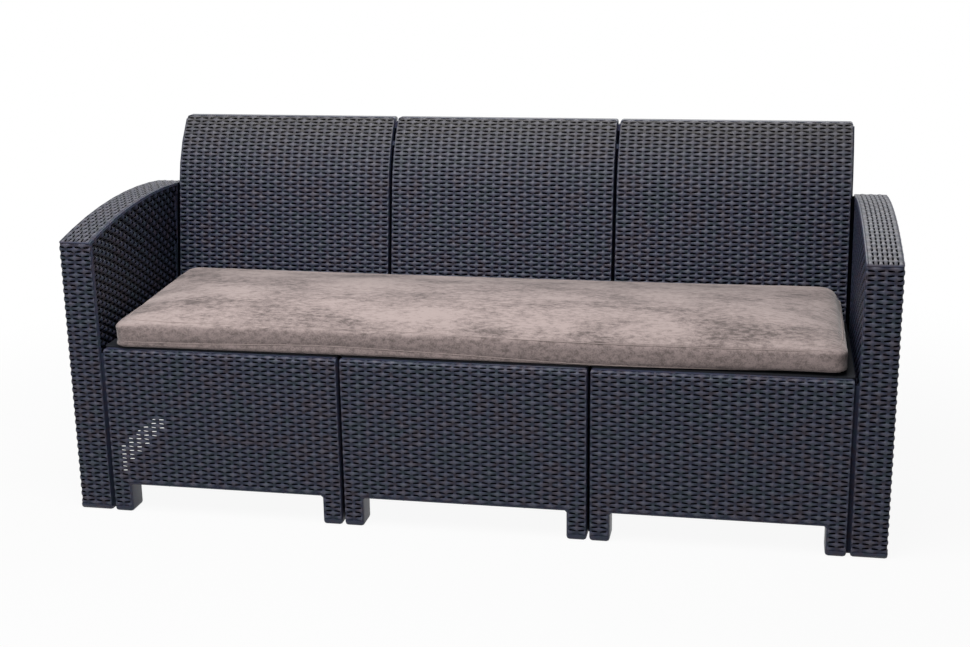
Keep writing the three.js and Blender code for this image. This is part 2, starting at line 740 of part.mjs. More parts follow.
// A box cushion: a grid for the top with its crown, one for the flat underside, and a border drawn in between.
function seatCushion() {
  const halfLength = armInner - cushionEndGap;
  const rear = backFace(deckTop) - cushionRearGap;
  const halfDepth = (rear - cushionFront) / 2;
  const middle = (rear + cushionFront) / 2;
  const under = deckTop + clearance;
  const seam = under + cushionUnder + cushionBorder;
  const across = cushionStops(halfLength, cushionLengthSteps);
  const back = cushionStops(halfDepth, cushionDepthSteps);
  const [columns, rows] = [across.length, back.length];
  // a corner's square of the grid is pulled in to a quarter circle, and the long sides are drawn in
  const plan = (i, j) => {
    const overX = Math.max(0, Math.abs(across[i]) - (halfLength - cushionCornerRadius));
    const overY = Math.max(0, Math.abs(back[j]) - (halfDepth - cushionCornerRadius));
    const pull = overX && overY ? Math.max(overX, overY) / Math.hypot(overX, overY) : 1;
    const x = Math.sign(across[i]) * (Math.abs(across[i]) - overX * (1 - pull));
    const y = Math.sign(back[j]) * (Math.abs(back[j]) - overY * (1 - pull));
    return [x, y * (1 - (cushionPull / halfDepth) * (1 - (x / halfLength) ** 2))];
  };
  const swell = (u, v) => cushionCrown * (1 - u ** cushionEndPower) * (1 - v ** cushionSidePower);
  const crown = (u, v) => swell(u, v) + (cushionRise * (1 + v)) / 2;
  const points = [];
  const add = (x, y, z) => points.push(x + cushionShift, y + middle, z) / 3 - 1;
  const grid = (height) =>
    across.map((_, i) => back.map((_, j) => add(...plan(i, j), height(i, j))));
  const rim = (i, j) => i === 0 || j === 0 || i === columns - 1 || j === rows - 1;
  const top = grid((i, j) => seam + crown(across[i] / halfLength, back[j] / halfDepth));
  const bottom = grid((i, j) => under + (rim(i, j) ? cushionUnder : 0));
  const around = [
    ...across.slice(1).map((_, i) => [i, 0]),
    ...back.slice(1).map((_, j) => [columns - 1, j]),
    ...across.slice(1).map((_, i) => [columns - 1 - i, rows - 1]),
    ...back.slice(1).map((_, j) => [0, rows - 1 - j]),
  ];
  const waist = around.map(([i, j]) => {
    const [x, y] = plan(i, j);
    const level = under + cushionUnder + cushionBorder / 2 + (cushionRise * (1 + y / halfDepth)) / 4;
    return add(x * (1 - cushionPinch / halfLength), y * (1 - cushionPinch / halfDepth), level);
  });
  const faces = [];
  const quad = (a, b, c, d) => faces.push(a, b, c, a, c, d);
  for (let i = 0; i < columns - 1; i++) {
    for (let j = 0; j < rows - 1; j++) {
      quad(top[i][j], top[i + 1][j], top[i + 1][j + 1], top[i][j + 1]);
      quad(bottom[i][j], bottom[i][j + 1], bottom[i + 1][j + 1], bottom[i + 1][j]);
    }
  }
  around.forEach(([i, j], k) => {
    const next = (k + 1) % around.length;
    const [p, q] = around[next];
    quad(bottom[i][j], bottom[p][q], waist[next], waist[k]);
    quad(waist[k], waist[next], top[p][q], top[i][j]);
  });
  const geometry = new THREE.BufferGeometry();
  geometry.setAttribute("position", new THREE.Float32BufferAttribute(points, 3));
  geometry.setIndex(faces);
  geometry.computeVertexNormals();
  return geometry;
}

// The sofa put together

const sofa = new THREE.Group();
sofa.position.y = -sofaDepth / 2;

const resin = { color: 0x3b4049, roughness: 0.5, metalness: 0 };
const shadedResin = { color: 0x2c3037, roughness: 0.6, metalness: 0 };
const zincSteel = { color: 0xa3a5a8, roughness: 0.35, metalness: 1 };
const suede = { color: 0x94877e, roughness: 0.95, metalness: 0 };

function addPiece(name, geometry, finish, [x, y, z] = [0, 0, 0]) {
  const mesh = new THREE.Mesh(geometry, new THREE.MeshStandardMaterial(finish));
  mesh.name = name;
  mesh.position.set(x, y, z);
  sofa.add(mesh);
  return mesh;
}

const shapes = {
  frontPanel: geometryOf(frontPanel()),
  rearPanel: geometryOf(rearPanel()),
  backShell: geometryOf(backShell()),
  seatPanel: geometryOf(seatPanel()),
  middleSupport: geometryOf(middleSupport()),
  armShell: geometryOf(armShell()),
  armPanel: geometryOf(armPanel()),
  armScrew: geometryOf(armScrew()),
  backClip: geometryOf(backClip()),
};

for (const [name, x] of Object.entries(seats)) {
  addPiece("front_panel_" + name, shapes.frontPanel, resin, [x, 0, 0]);
  addPiece("rear_panel_" + name, shapes.rearPanel, resin, [x, rearFace, 0]).rotation.z = Math.PI;
  addPiece("back_shell_" + name, shapes.backShell, resin, [x, 0, 0]);
  addPiece("seat_panel_" + name, shapes.seatPanel, shadedResin, [x, 0, 0]);
}

const screwNames = ["front_low", "front_high", "rear_low", "rear_high", "back_low", "back_high"];
const clipNames = ["low", "high"];

for (const [name, side] of Object.entries(sides)) {
  const seam = (side * seatPitch) / 2;
  addPiece("middle_support_" + name, shapes.middleSupport, shadedResin, [seam, 0, 0]);
  clipRises.forEach((rise, k) => {
    const z = shelfHeight + rise;
    const slope = Math.atan2(backRear(z + clipLength) - backRear(z), clipLength);
    const place = [seam, backRear(z) + clearance, z];
    addPiece("back_clip_" + name + "_" + clipNames[k], shapes.backClip, shadedResin, place).rotation.x = -slope;
  });
  addPiece("arm_shell_" + name, shapes.armShell, resin).scale.x = side;
  addPiece("arm_panel_" + name, shapes.armPanel, resin).scale.x = side;
  armScrews.forEach(([y, z], k) => {
    const place = [side * screwFace, y, z];
    addPiece("arm_screw_" + name + "_" + screwNames[k], shapes.armScrew, zincSteel, place).scale.x = side;
  });
}

addPiece("seat_cushion", seatCushion(), suede);

export default sofa;
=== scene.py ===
import json
import math

import bpy
import numpy as np
from mathutils import Matrix, Vector


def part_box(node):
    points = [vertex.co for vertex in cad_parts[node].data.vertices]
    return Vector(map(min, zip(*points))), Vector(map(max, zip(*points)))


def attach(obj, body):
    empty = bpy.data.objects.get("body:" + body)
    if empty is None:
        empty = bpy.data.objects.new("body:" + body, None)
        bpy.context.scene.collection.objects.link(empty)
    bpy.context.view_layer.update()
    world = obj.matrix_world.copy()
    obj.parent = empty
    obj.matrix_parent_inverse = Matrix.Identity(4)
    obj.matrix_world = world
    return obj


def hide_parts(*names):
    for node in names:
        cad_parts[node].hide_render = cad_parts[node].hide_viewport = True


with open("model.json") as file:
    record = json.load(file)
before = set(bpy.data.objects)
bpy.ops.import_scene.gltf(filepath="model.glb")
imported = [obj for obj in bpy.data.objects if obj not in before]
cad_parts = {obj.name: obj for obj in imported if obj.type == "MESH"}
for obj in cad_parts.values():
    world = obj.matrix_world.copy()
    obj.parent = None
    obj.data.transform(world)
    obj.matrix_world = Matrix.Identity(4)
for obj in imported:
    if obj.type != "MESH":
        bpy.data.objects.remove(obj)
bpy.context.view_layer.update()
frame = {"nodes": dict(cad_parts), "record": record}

nodes = frame["nodes"]
seats = ("left", "middle", "right")
sides = {"left": -1, "right": 1}
print("frame loaded")

# Camera: where the photo was taken from, in metres and degrees
photo = {
    "place": (0.6571, -3.38405, 1.3469),
    "turn": 11.08,  # towards the left arm
    "down": 15.17,
    "roll": -0.783,
    "focal": 1476.5,  # in pixels of a picture 970 wide
    "width": 970,
    "sensor": 36.0,
}


def makeCamera():
    turn, down, roll = (math.radians(photo[k]) for k in ("turn", "down", "roll"))
    ahead = Vector((-math.sin(turn), math.cos(turn), 0))
    across = Vector((math.cos(turn), math.sin(turn), 0))
    up = Vector((0, 0, 1))
    forward = ahead * math.cos(down) - up * math.sin(down)
    upright = ahead * math.sin(down) + up * math.cos(down)
    right = across * math.cos(roll) + upright * math.sin(roll)
    top = upright * math.cos(roll) - across * math.sin(roll)
    data = bpy.data.cameras.new("camera")
    data.sensor_width = photo["sensor"]
    data.lens = photo["focal"] / photo["width"] * photo["sensor"]
    camera = bpy.data.objects.new("camera", data)
    bpy.context.scene.collection.objects.link(camera)
    turned = Matrix((right, top, -forward)).transposed().to_4x4()
    camera.matrix_world = Matrix.Translation(photo["place"]) @ turned
    bpy.context.scene.camera = camera


makeCamera()
print("camera placed")


# Mesh tools
def meshOf(name, points, faceGroups, across=None, **values):
    # faceGroups: integer arrays, one row for each face; across: a UV for each point, in metres
    # values: attributes with a number for each point
    groups = [g for g in faceGroups if len(g)]
    used, loops = np.unique(np.concatenate([g.ravel() for g in groups]), return_inverse=True)
    sizes = np.concatenate([np.full(len(g), g.shape[1]) for g in groups])
    mesh = bpy.data.meshes.new(name)
    mesh.vertices.add(len(used))
    mesh.vertices.foreach_set("co", points[used].astype(np.float32).ravel())
    mesh.loops.add(len(loops))
    mesh.loops.foreach_set("vertex_index", loops.astype(np.int32))
    mesh.polygons.add(len(sizes))
    mesh.polygons.foreach_set("loop_start", (np.cumsum(sizes) - sizes).astype(np.int32))
    mesh.update(calc_edges=True)
    if across is not None:
        layer = mesh.uv_layers.new(name="strand")
        layer.data.foreach_set("uv", across[used][loops].astype(np.float32).ravel())
    for key, numbers in values.items():
        attribute = mesh.attributes.new(key, "FLOAT", "POINT")
        attribute.data.foreach_set("value", numbers[used].astype(np.float32))
    mesh.validate()
    return mesh


def objectOf(name, mesh):
    thing = bpy.data.objects.new(name, mesh)
    bpy.context.scene.collection.objects.link(thing)
    return thing


def pointsOf(mesh):
    points = np.empty(len(mesh.vertices) * 3, np.float32)
    mesh.vertices.foreach_get("co", points)
    return points.reshape(-1, 3).astype(float)


def setPoints(mesh, points):
    mesh.vertices.foreach_set("co", points.astype(np.float32).ravel())
    mesh.update()


def smoothByAngle(mesh, degrees):
    mesh.polygons.foreach_set("use_smooth", np.ones(len(mesh.polygons), bool))
    mesh.set_sharp_from_angle(angle=math.radians(degrees))


# A merged copy of a CAD node's mesh
def copyOf(node, name):
    mesh = nodes[node].data.copy()
    mesh.name = name
    mesh.materials.clear()
    piece = objectOf(name, mesh)
    weld = piece.modifiers.new("weld", "WELD")
    weld.merge_threshold = 1e-6
    return applied(piece)


def applied(piece):
    # bakes the modifiers into a new mesh, so that none is left live
    graph = bpy.context.evaluated_depsgraph_get()
    baked = bpy.data.meshes.new_from_object(piece.evaluated_get(graph), depsgraph=graph)
    piece.modifiers.clear()
    old, piece.data = piece.data, baked
    baked.name = piece.name
    bpy.data.meshes.remove(old)
    return piece


def cutAway(piece, cutters):
    for cutter in cutters:
        step = piece.modifiers.new("cut", "BOOLEAN")
        step.operation = "DIFFERENCE"
        step.solver = "MANIFOLD"
        step.object = cutter
    applied(piece)
    for cutter in cutters:
        bpy.data.meshes.remove(cutter.data)


def joined(name, parts):
    with bpy.context.temp_override(
        active_object=parts[0], selected_objects=parts, selected_editable_objects=parts
    ):
        bpy.ops.object.join()
    parts[0].name = name
    parts[0].data.name = name
    return parts[0]


def blockMesh(low, high):
    # a closed box for cutting, its faces pointing out
    corners = np.stack(np.meshgrid(*zip(low, high), indexing="ij"), -1).reshape(-1, 3)
    quads = np.array([
        [0, 1, 3, 2], [4, 6, 7, 5], [0, 4, 5, 1], [2, 3, 7, 6], [0, 2, 6, 4], [1, 5, 7, 3],
    ])
    return meshOf("block", corners, [quads])


# How far a rolled edge has dropped at a distance inside it: radius - sqrt(radius^2 - (radius - distance)^2)
def rolled(distance, radius):
    short = np.clip(radius - distance, 0, radius)
    return radius - np.sqrt(radius ** 2 - short ** 2)


# The moulded weave: flat strands that pass over and under the stakes, with a dark slot between two strands
weave = {
    "column": 0.020,  # along a strand, from one stake to the next, about
    "row": 0.010,  # from one strand to the next, about
    "rise": 0.0010,  # of a strand over the middle of its wave
    "rim": 0.0012,  # how much lower a strand's edges are beside a slot
    "crease": 0.0014,  # depth between two strands where there is no slot
    "slotHalf": 0.0019,
    "slotShare": 0.80,  # of a column
    "swell": 0.0005,  # how much a strand widens where it is on top
    "slotFloor": 0.0064,
    "back": 0.0076,
    "cut": 0.0078,  # how deep the plain moulding is cut away behind a weave
    "cutProud": 0.003,  # how far the cutter stands proud of it
    "cutSteps": 4,  # of the cutter, in each column
    "plainShade": 0.10,  # the plain surfaces' share of a slot's painted shade
    "plainAngle": 35,  # edges steeper than this stay sharp, in degrees
    "strandAngle": 50,
}
slotEnd = weave["slotShare"]
alongShares = np.array([-1, -slotEnd, -0.58, 0, 0.58, slotEnd, 1])  # of half a column
acrossShares = np.array([-1, -0.62, 0, 0.62, 1])  # of half a strand
slotStops = slice(1, 6)


# A cell is one slot's place between two stakes; at a stake a strand lies on top or the stake does, in turn.
# For cell (row, column), with s = +1 or -1 in turn and a = -sin(pi/2 * along):
# middle depth = rise * (s*a - 1); slot = sqrt(1 - (along/slotShare)^4), and 0 past its ends
# strand edge at half a row - slotHalf * slot + s*swell*a,
# at a depth of slot * (middle - rim) - (1 - slot) * crease
# depth across a strand = edge depth + (middle - edge depth) * sqrt(1 - across^2)
def weaveMesh(name, place, mask, column, row, through=None, faded=np.zeros_like, relief=1, shade=0):
    # through is True where the slot above a cell goes right through; a function of v gives the light
    # painted on the colour
    padded = np.pad(mask, 1)
    opened = np.pad(np.zeros_like(mask) if through is None else through, 1)
    rows, columns = np.nonzero(mask)
    above, below = (padded[1 + k:len(padded) - 1 + k, 1:-1][rows, columns] for k in (1, -1))
    before, after = (padded[1:-1, 1 + k:padded.shape[1] - 1 + k][rows, columns] for k in (-1, 1))
    openAbove = opened[rows + 1, columns + 1] & above
    openBelow = opened[rows, columns + 1] & below
    turn = (1 - 2 * ((rows + columns) % 2))[:, None]
    wave = -np.sin(np.pi / 2 * alongShares)[None]
    middle = relief * weave["rise"] * (turn * wave - 1)
    slot = np.sqrt(np.clip(1 - (alongShares / slotEnd) ** 4, 0, 1))
    rim = slot * (middle - weave["rim"]) - (1 - slot) * weave["crease"]
    inside = row / 2 - weave["slotHalf"] * slot + turn * weave["swell"] * wave
    edges = [np.where(beside[:, None], inside, row / 2) for beside in (above, below)]

    u = (columns[:, None] + 0.5 + alongShares / 2) * column
    centre = (rows[:, None] + 0.5) * row
    upper, lower = centre + edges[0], centre - edges[1]
    half = np.where(acrossShares > 0, edges[0][..., None], edges[1][..., None])
    front = np.stack([
        np.repeat(u[..., None], len(acrossShares), 2),
        centre[..., None] + acrossShares * half,
        rim[..., None] + (middle - rim)[..., None] * np.sqrt(1 - acrossShares ** 2),
    ], -1)

    def level(v, depth):
        return np.stack([u, v + 0 * u, 0 * u - depth], -1)

    def depthOf(isOpen):
        return np.where(isOpen, weave["back"], weave["slotFloor"])[:, None]

    corners = np.stack([
        level(centre - row / 2, weave["back"])[:, [0, -1]],
        level(centre + row / 2, weave["back"])[:, [0, -1]],
    ], 1)
    sets = {
        "front": front,
        "upper": level(upper, depthOf(openAbove)),
        "lower": level(lower, depthOf(openBelow)),
        "corner": corners,
    }
    flat = np.concatenate([p.reshape(-1, 3) for p in sets.values()])
    # one whole number for each point, from its place in micrometres: points that share it become one
    keys = np.round(flat * 1e6).astype(np.int64) + 100_000
    keys = (keys[:, 0] * 10_000_000 + keys[:, 1]) * 1_000_000 + keys[:, 2]
    first, index = np.unique(keys, return_index=True, return_inverse=True)[1:]
    params = flat[first]
    at, ids = 0, {}
    for key, values in sets.items():
        count = values.size // 3
        ids[key] = index[at:at + count].reshape(values.shape[:-1])
        at += count

    f, up, low, back = ids["front"], ids["upper"], ids["lower"], ids["corner"]

    def strip(a, b):
        # quads between two rows of points
        return np.stack([a[:, :-1], a[:, 1:], b[:, 1:], b[:, :-1]], -1).reshape(-1, 4)

    faces = [strip(f[:, :, k], f[:, :, k + 1]) for k in range(len(acrossShares) - 1)]
    faces.append(strip(f[above][:, slotStops, -1], up[above][:, slotStops]))
    faces.append(strip(low[below][:, slotStops], f[below][:, slotStops, 0]))
    number = np.full(padded.shape, -1)
    number[rows + 1, columns + 1] = np.arange(len(rows))
    blind = above & ~openAbove
    over = number[rows + 2, columns + 1][blind]
    floorLow, floorHigh = up[blind], low[over]
    faces.append(strip(floorLow[:, 2:5], floorHigh[:, 2:5]))
    faces.append(np.stack([floorLow[:, 1], floorLow[:, 2], floorHigh[:, 2]], -1))
    faces.append(np.stack([floorLow[:, 5], floorHigh[:, 4], floorLow[:, 4]], -1))
    for lowOpen in (False, True):
        for highOpen in (False, True):
            these = (openBelow == lowOpen) & (openAbove == highOpen)
            top = up[these][:, slotStops] if highOpen else up[these][:, :0]
            bottom = low[these][:, slotStops][:, ::-1] if lowOpen else low[these][:, :0]
            ring = [back[these][:, 0, :1], back[these][:, 1, :1], top,
                    back[these][:, 1, 1:], back[these][:, 0, 1:], bottom]
            faces.append(np.concatenate(ring, 1))
    faces.append(np.concatenate([f[~above][:, :, -1], back[~above][:, 1, ::-1]], 1))
    faces.append(np.concatenate([f[~below][:, ::-1, 0], back[~below][:, 0]], 1))
    faces.append(np.concatenate([f[~before][:, 0], back[~before][:, ::-1, 0]], 1))
    faces.append(np.concatenate([f[~after][:, -1, ::-1], back[~after][:, :, 1]], 1))
    if turnsOver(place):
        faces = [g[:, ::-1] for g in faces]
    points = place(params[:, 0], params[:, 1], params[:, 2])
    # how much painted shade a point gets: 1 on a slot's floor, 0 behind it, and half of its share of that
    # depth above it, plus the field's own shade
    depth = -params[:, 2] / weave["slotFloor"]
    sunk = np.select([depth > 1.1, depth > 0.99], [0, 1], depth / 2 + shade)
    return meshOf(name, points, faces, params[:, :2], sunk=sunk, faded=faded(params[:, 1]))


# True where a surface's own along, across and outward directions make a left hand
def turnsOver(place):
    start = np.array([0.1, 0.1, 0.0])
    steps = start + np.vstack([np.zeros(3), np.eye(3) * 1e-3])
    p = place(*steps.T)
    return np.linalg.det(p[1:] - p[0]) < 0


# A plain slab over the same cells, to cut the moulding with: flat quads in front, behind and round it
def slabMesh(name, place, mask, column, row, **_):
    mask = np.repeat(mask, weave["cutSteps"], axis=1)
    column = column / weave["cutSteps"]
    rows, columns = np.nonzero(mask)
    corners = np.array([[0, 0], [1, 0], [1, 1], [0, 1]])
    width = mask.shape[1] + 1
    ids = (rows[:, None] + corners[:, 1]) * width + columns[:, None] + corners[:, 0]
    v, u = np.meshgrid(
        np.arange(mask.shape[0] + 1) * row, np.arange(width) * column, indexing="ij")
    u, v = u.ravel(), v.ravel()
    depths = (weave["cutProud"], -weave["cut"])
    points = np.concatenate([place(u, v, np.full_like(u, d)) for d in depths])
    behind = len(u)
    padded = np.pad(mask, 1)
    faces = [ids, ids[:, ::-1] + behind]
    for k, (dr, dc) in enumerate(((-1, 0), (0, 1), (1, 0), (0, -1))):
        bare = ~padded[rows + 1 + dr, columns + 1 + dc]
        a, b = ids[bare, k], ids[bare, (k + 1) % 4]
        faces.append(np.stack([b, a, a + behind, b + behind], -1))
    if turnsOver(place):
        faces = [g[:, ::-1] for g in faces]
    return meshOf(name, points, faces)


# A moulding: the plain CAD form with a window cut for each woven field, and the fields in them
def wovenMoulding(node, fields, cutters=(), extras=()):
    name = node + "_woven"
    plain = copyOf(node, name + "_plain")
    slabs = [objectOf("slab", slabMesh("slab", **field)) for field in fields]
    cutAway(plain, slabs + [objectOf("cutter", mesh) for mesh in cutters])
    smoothByAngle(plain.data, weave["plainAngle"])
    # painted shade: every point of the plain moulding gets the same share of it
    sunk = plain.data.attributes.new("sunk", "FLOAT", "POINT")
    sunk.data.foreach_set("value", np.full(len(sunk.data), weave["plainShade"], np.float32))
    parts = [plain] + [objectOf("extra", mesh) for mesh in extras]
    for field in fields:
        mesh = weaveMesh("field", **field)
        smoothByAngle(mesh, weave["strandAngle"])
        parts.append(objectOf("field", mesh))
    piece = joined(name, parts)
    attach(piece, "sofa")
    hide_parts(node)
    return piece


def fitted(length, pitch):
    # how many cells fit a length, and their exact pitch
    count = round(length / pitch)
    return count, length / count


# Front and rear panels stand on two feet
panel = {
    "side": 0.002,  # plain edges beside the weave
    "edge": 0.0035,  # radius of the weave's side edges
    "lipRadius": 0.013,
    "lipReach": 0.016,  # how far the weave follows the lip's arc
    "foot": 0.013,
    "footColumns": 2,
    "archTop": 0.073,  # top of the plain band over the arch
}
# Where light shows through the left front panel: a slanting band between two straight lines
lightBand = {
    "left": -0.835,
    "right": -0.695,
    "from": -0.822,  # both lines start here
    "low": 0.100,
    "lowSlope": 1.12,
    "high": 0.166,
    "highSlope": 1.00,
    "ribFrom": (-0.765, -0.3075, 0.150),  # what is cut out of the ribs behind it
    "ribTo": (-0.670, -0.2600, 0.285),
}


def panelField(low, high, facing):
    width = high.x - low.x
    flat = high.z - panel["lipRadius"] - panel["foot"]
    columns, column = fitted(width - 2 * panel["side"], weave["column"])
    rows, row = fitted(flat + panel["lipReach"], weave["row"])
    mask = np.ones((rows, columns), bool)
    footRows = round((panel["archTop"] - panel["foot"]) / row)
    mask[:footRows, panel["footColumns"]:-panel["footColumns"]] = False

    def place(u, v, out):
        # a flat face that looks forwards (facing -1) or backwards (+1); its top goes over the lip's arc
        across = panel["side"] + u
        out = out - rolled(np.minimum(across, width - across), panel["edge"])
        angle = np.clip(v - flat, 0, None) / panel["lipRadius"]
        depth = panel["lipRadius"] * (1 - np.cos(angle)) - out * np.cos(angle)
        z = panel["foot"] + np.minimum(v, flat) + (panel["lipRadius"] + out) * np.sin(angle)
        if facing < 0:
            return np.stack([low.x + across, low.y + depth, z], -1)
        return np.stack([high.x - across, high.y - depth, z], -1)

    return dict(place=place, mask=mask, column=column, row=row)


def letLightThrough(field):
    rows, columns = field["mask"].shape
    u = (np.arange(columns) + 0.5)[None] * field["column"]
    v = np.arange(1, rows + 1)[:, None] * field["row"]
    x, _, z = np.moveaxis(field["place"](u + 0 * v, v + 0 * u, 0 * u * v), -1, 0)
    along = x - lightBand["from"]
    inBand = (x > lightBand["left"]) & (x < lightBand["right"])
    inBand &= z > lightBand["low"] + lightBand["lowSlope"] * along
    inBand &= z < lightBand["high"] + lightBand["highSlope"] * along
    field["through"] = inBand & field["mask"]
    return field


# Back shells lean, then roll over backwards
backForm = {
    "lean": math.radians(9),
    "rollHeight": 0.170,
    "rollRadius": 0.314,
    "topRadius": 0.009,  # where the face meets the top
    "topCorner": 0.006,
    "edge": 0.0035,  # radius of the weave's side edges
    "side": 0.002,
    "foot": 0.012,
    "top": 0.0005,
    "paintedTopLight": 1.8,  # painted light on the colour, at the top
    "stripDepth": 0.0080,  # behind the face, just in front of the lips
    "stripWall": 0.0008,
    "stripDrop": 0.012,  # how far it stays below the top
    "stripFrom": -0.011,  # below the weave's first row
    "stripArmTop": 0.694,  # where it ends beside an arm
    "stripInset": 0.0001,  # clear of the panels on both sides
    "stripSteps": 16,
}


def backField(low, high):
    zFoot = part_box("rear_panel_left")[1].z
    lean, radius, topRadius = backForm["lean"], backForm["rollRadius"], backForm["topRadius"]
    zRoll = high.z - backForm["rollHeight"]
    straight = (zRoll - zFoot) / math.cos(lean)
    last = math.asin(math.sin(lean) + backForm["rollHeight"] / radius)
    last -= topRadius * math.tan((math.pi / 2 - last) / 2) / radius  # where the top's own arc begins
    roll = straight + radius * (last - lean)
    whole = roll + topRadius * (math.pi / 2 - last)
    width = high.x - low.x
    half = width / 2 - backForm["side"]
    columns, column = fitted(2 * half, weave["column"])
    rows, row = fitted(whole - backForm["foot"] - backForm["top"], weave["row"])

    def place(u, v, out):
        # up the lean, round the wide arc and then the narrow one at the top; angles grow with the length
        across = backForm["side"] + u
        out = out - rolled(np.minimum(across, width - across), backForm["edge"])
        length = backForm["foot"] + v
        up = np.minimum(length, straight)
        wide = lean + np.clip(length - straight, 0, roll - straight) / radius
        angle = wide + np.clip(length - roll, 0, None) / topRadius
        y = up * math.sin(lean) + radius * (math.cos(lean) - np.cos(wide)) \
            + topRadius * (np.cos(wide) - np.cos(angle))
        z = zFoot + up * math.cos(lean) + radius * (np.sin(wide) - math.sin(lean)) \
            + topRadius * (np.sin(angle) - np.sin(wide))
        drawnIn = 1 - rolled(high.z - z, backForm["topCorner"]) / half
        return np.stack([
            low.x + width / 2 + (u - half) * drawnIn,
            low.y + y - out * np.cos(angle),
            z + out * np.sin(angle),
        ], -1)

    # painted light on the colour, growing towards the top of the back
    def faded(v):
        return backForm["paintedTopLight"] * (v / whole) ** 5

    return dict(place=place, mask=np.ones((rows, columns), bool), column=column, row=row, faded=faded)


# A strip in the gap beside a back, from x to x, so that no light shows past its lips; it is painted black
# as shade
def gapStrip(field, fromX, toX, top):
    v = np.linspace(backForm["stripFrom"], top, backForm["stripSteps"])[:, None, None]
    x = np.array([fromX, toX])[None, :, None]
    out = -backForm["stripDepth"] - np.array([0, backForm["stripWall"]])[None, None]
    x, v, out = (a.ravel() for a in np.broadcast_arrays(x, v, out))
    inward = field["column"] * 2  # past the rolled edge
    points = field["place"](np.full_like(x, inward), v, out)
    points[:, 0] = x
    rings = np.arange(len(points)).reshape(-1, 4)[:, [0, 2, 3, 1]]
    onward = np.roll(rings, -1, 1)
    walls = np.stack([rings[:-1], onward[:-1], onward[1:], rings[1:]], -1)
    faces = [walls.reshape(-1, 4), rings[:1, ::-1], rings[-1:]]
    # painted shade: all of its points take a slot floor's full darkness
    return meshOf("strip", points, faces, sunk=np.ones(len(points)))


def wovenBack(seat):
    low, high = (corner.copy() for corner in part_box("back_shell_" + seat))
    low.x, high.x = (corner.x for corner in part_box("rear_panel_" + seat))  # without the lips
    field = backField(low, high)
    top = field["mask"].shape[0] * field["row"] - backForm["stripDrop"]
    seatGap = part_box("rear_panel_middle")[0].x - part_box("rear_panel_left")[1].x
    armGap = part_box("rear_panel_left")[0].x - armBox("left", -1)[1].x
    stop = (backForm["stripArmTop"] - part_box("rear_panel_left")[1].z) / math.cos(backForm["lean"])
    inset = backForm["stripInset"]
    strips = []
    if seat == "left":
        strips.append(gapStrip(field, low.x - armGap + inset, low.x - inset, stop))
    if seat == "right":
        strips.append(gapStrip(field, high.x + inset, high.x + armGap - inset, stop))
    else:
        strips.append(gapStrip(field, high.x + inset, high.x + seatGap - inset, top))
    return wovenMoulding("back_shell_" + seat, [field], extras=strips)


# Arms: the weave wraps round the front, the outer side and the rear; the top has its own field
arm = {
    "width": 0.080,
    "frontTop": 0.655,
    "rearTop": 0.699,
    "crown": 0.027,
    "corner": 0.009,  # radius the weave turns the upright corners on
    "endEdge": 0.009,  # radius where the top meets the front and the rear
    "sideEdge": 0.006,  # and where it meets the outer side
    "innerEdge": 0.0035,  # and where the front and the rear meet the inner side
    "inner": 0.0015,  # plain strip beside the inner face
    "foot": 0.013,
    "footDepth": 0.057,
    "footMargin": 0.004,  # of weave past a foot's own depth
    "archTop": 0.090,
    "top": 0.003,
    "topInner": 0.0055,  # plain strips of the top, from the inner and outer faces and the ends
    "topOuter": 0.004,
    "topEnd": 0.004,
    "innerTop": 0.008,
    "innerFoot": 0.372,  # the inner face is plain below this
    "innerEnd": 0.012,
    "innerRelief": 1.9,  # how much deeper its strands wave
    "innerShade": 0.07,  # and how much darker they are painted, as shade
    # painted light on the colour of the arm's top
    "topPaintedLight": 0.6,
    "padReach": 0.018,  # plain patch round a screw's pad
    "ribInset": 0.0129,  # middle of the rib on the inner face, behind the face of the backs
    "ribReach": 0.0022,
    "innerArch": 0.170,  # the inner side is open up to here between its feet
    "innerArchFrom": 0.066,
    "innerArchTo": 0.440,
    "innerArchDepth": 0.017,
    "skin": 0.0084,  # what stays of the outer side where the arm is open underneath
}


def armBox(name, side):
    # both halves together, without the pads
    low, high = (corner.copy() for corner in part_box("arm_shell_" + name))
    if side > 0:
        low.x = high.x - arm["width"]
    else:
        high.x = low.x + arm["width"]
    return low, high


def armTop(y, low, high):
    share = np.clip((y - low.y) / (high.y - low.y), 0, 1)
    return arm["frontTop"] + (arm["rearTop"] - arm["frontTop"]) * share \
        + 4 * arm["crown"] * share * (1 - share)


def fanned(v, y, full, low, high):
    # rows stay level at the foot and follow the crown at the top: z = v + (v/full)^2 * extra height
    return v + (v / full) ** 2 * (armTop(y, low, high) - arm["frontTop"])


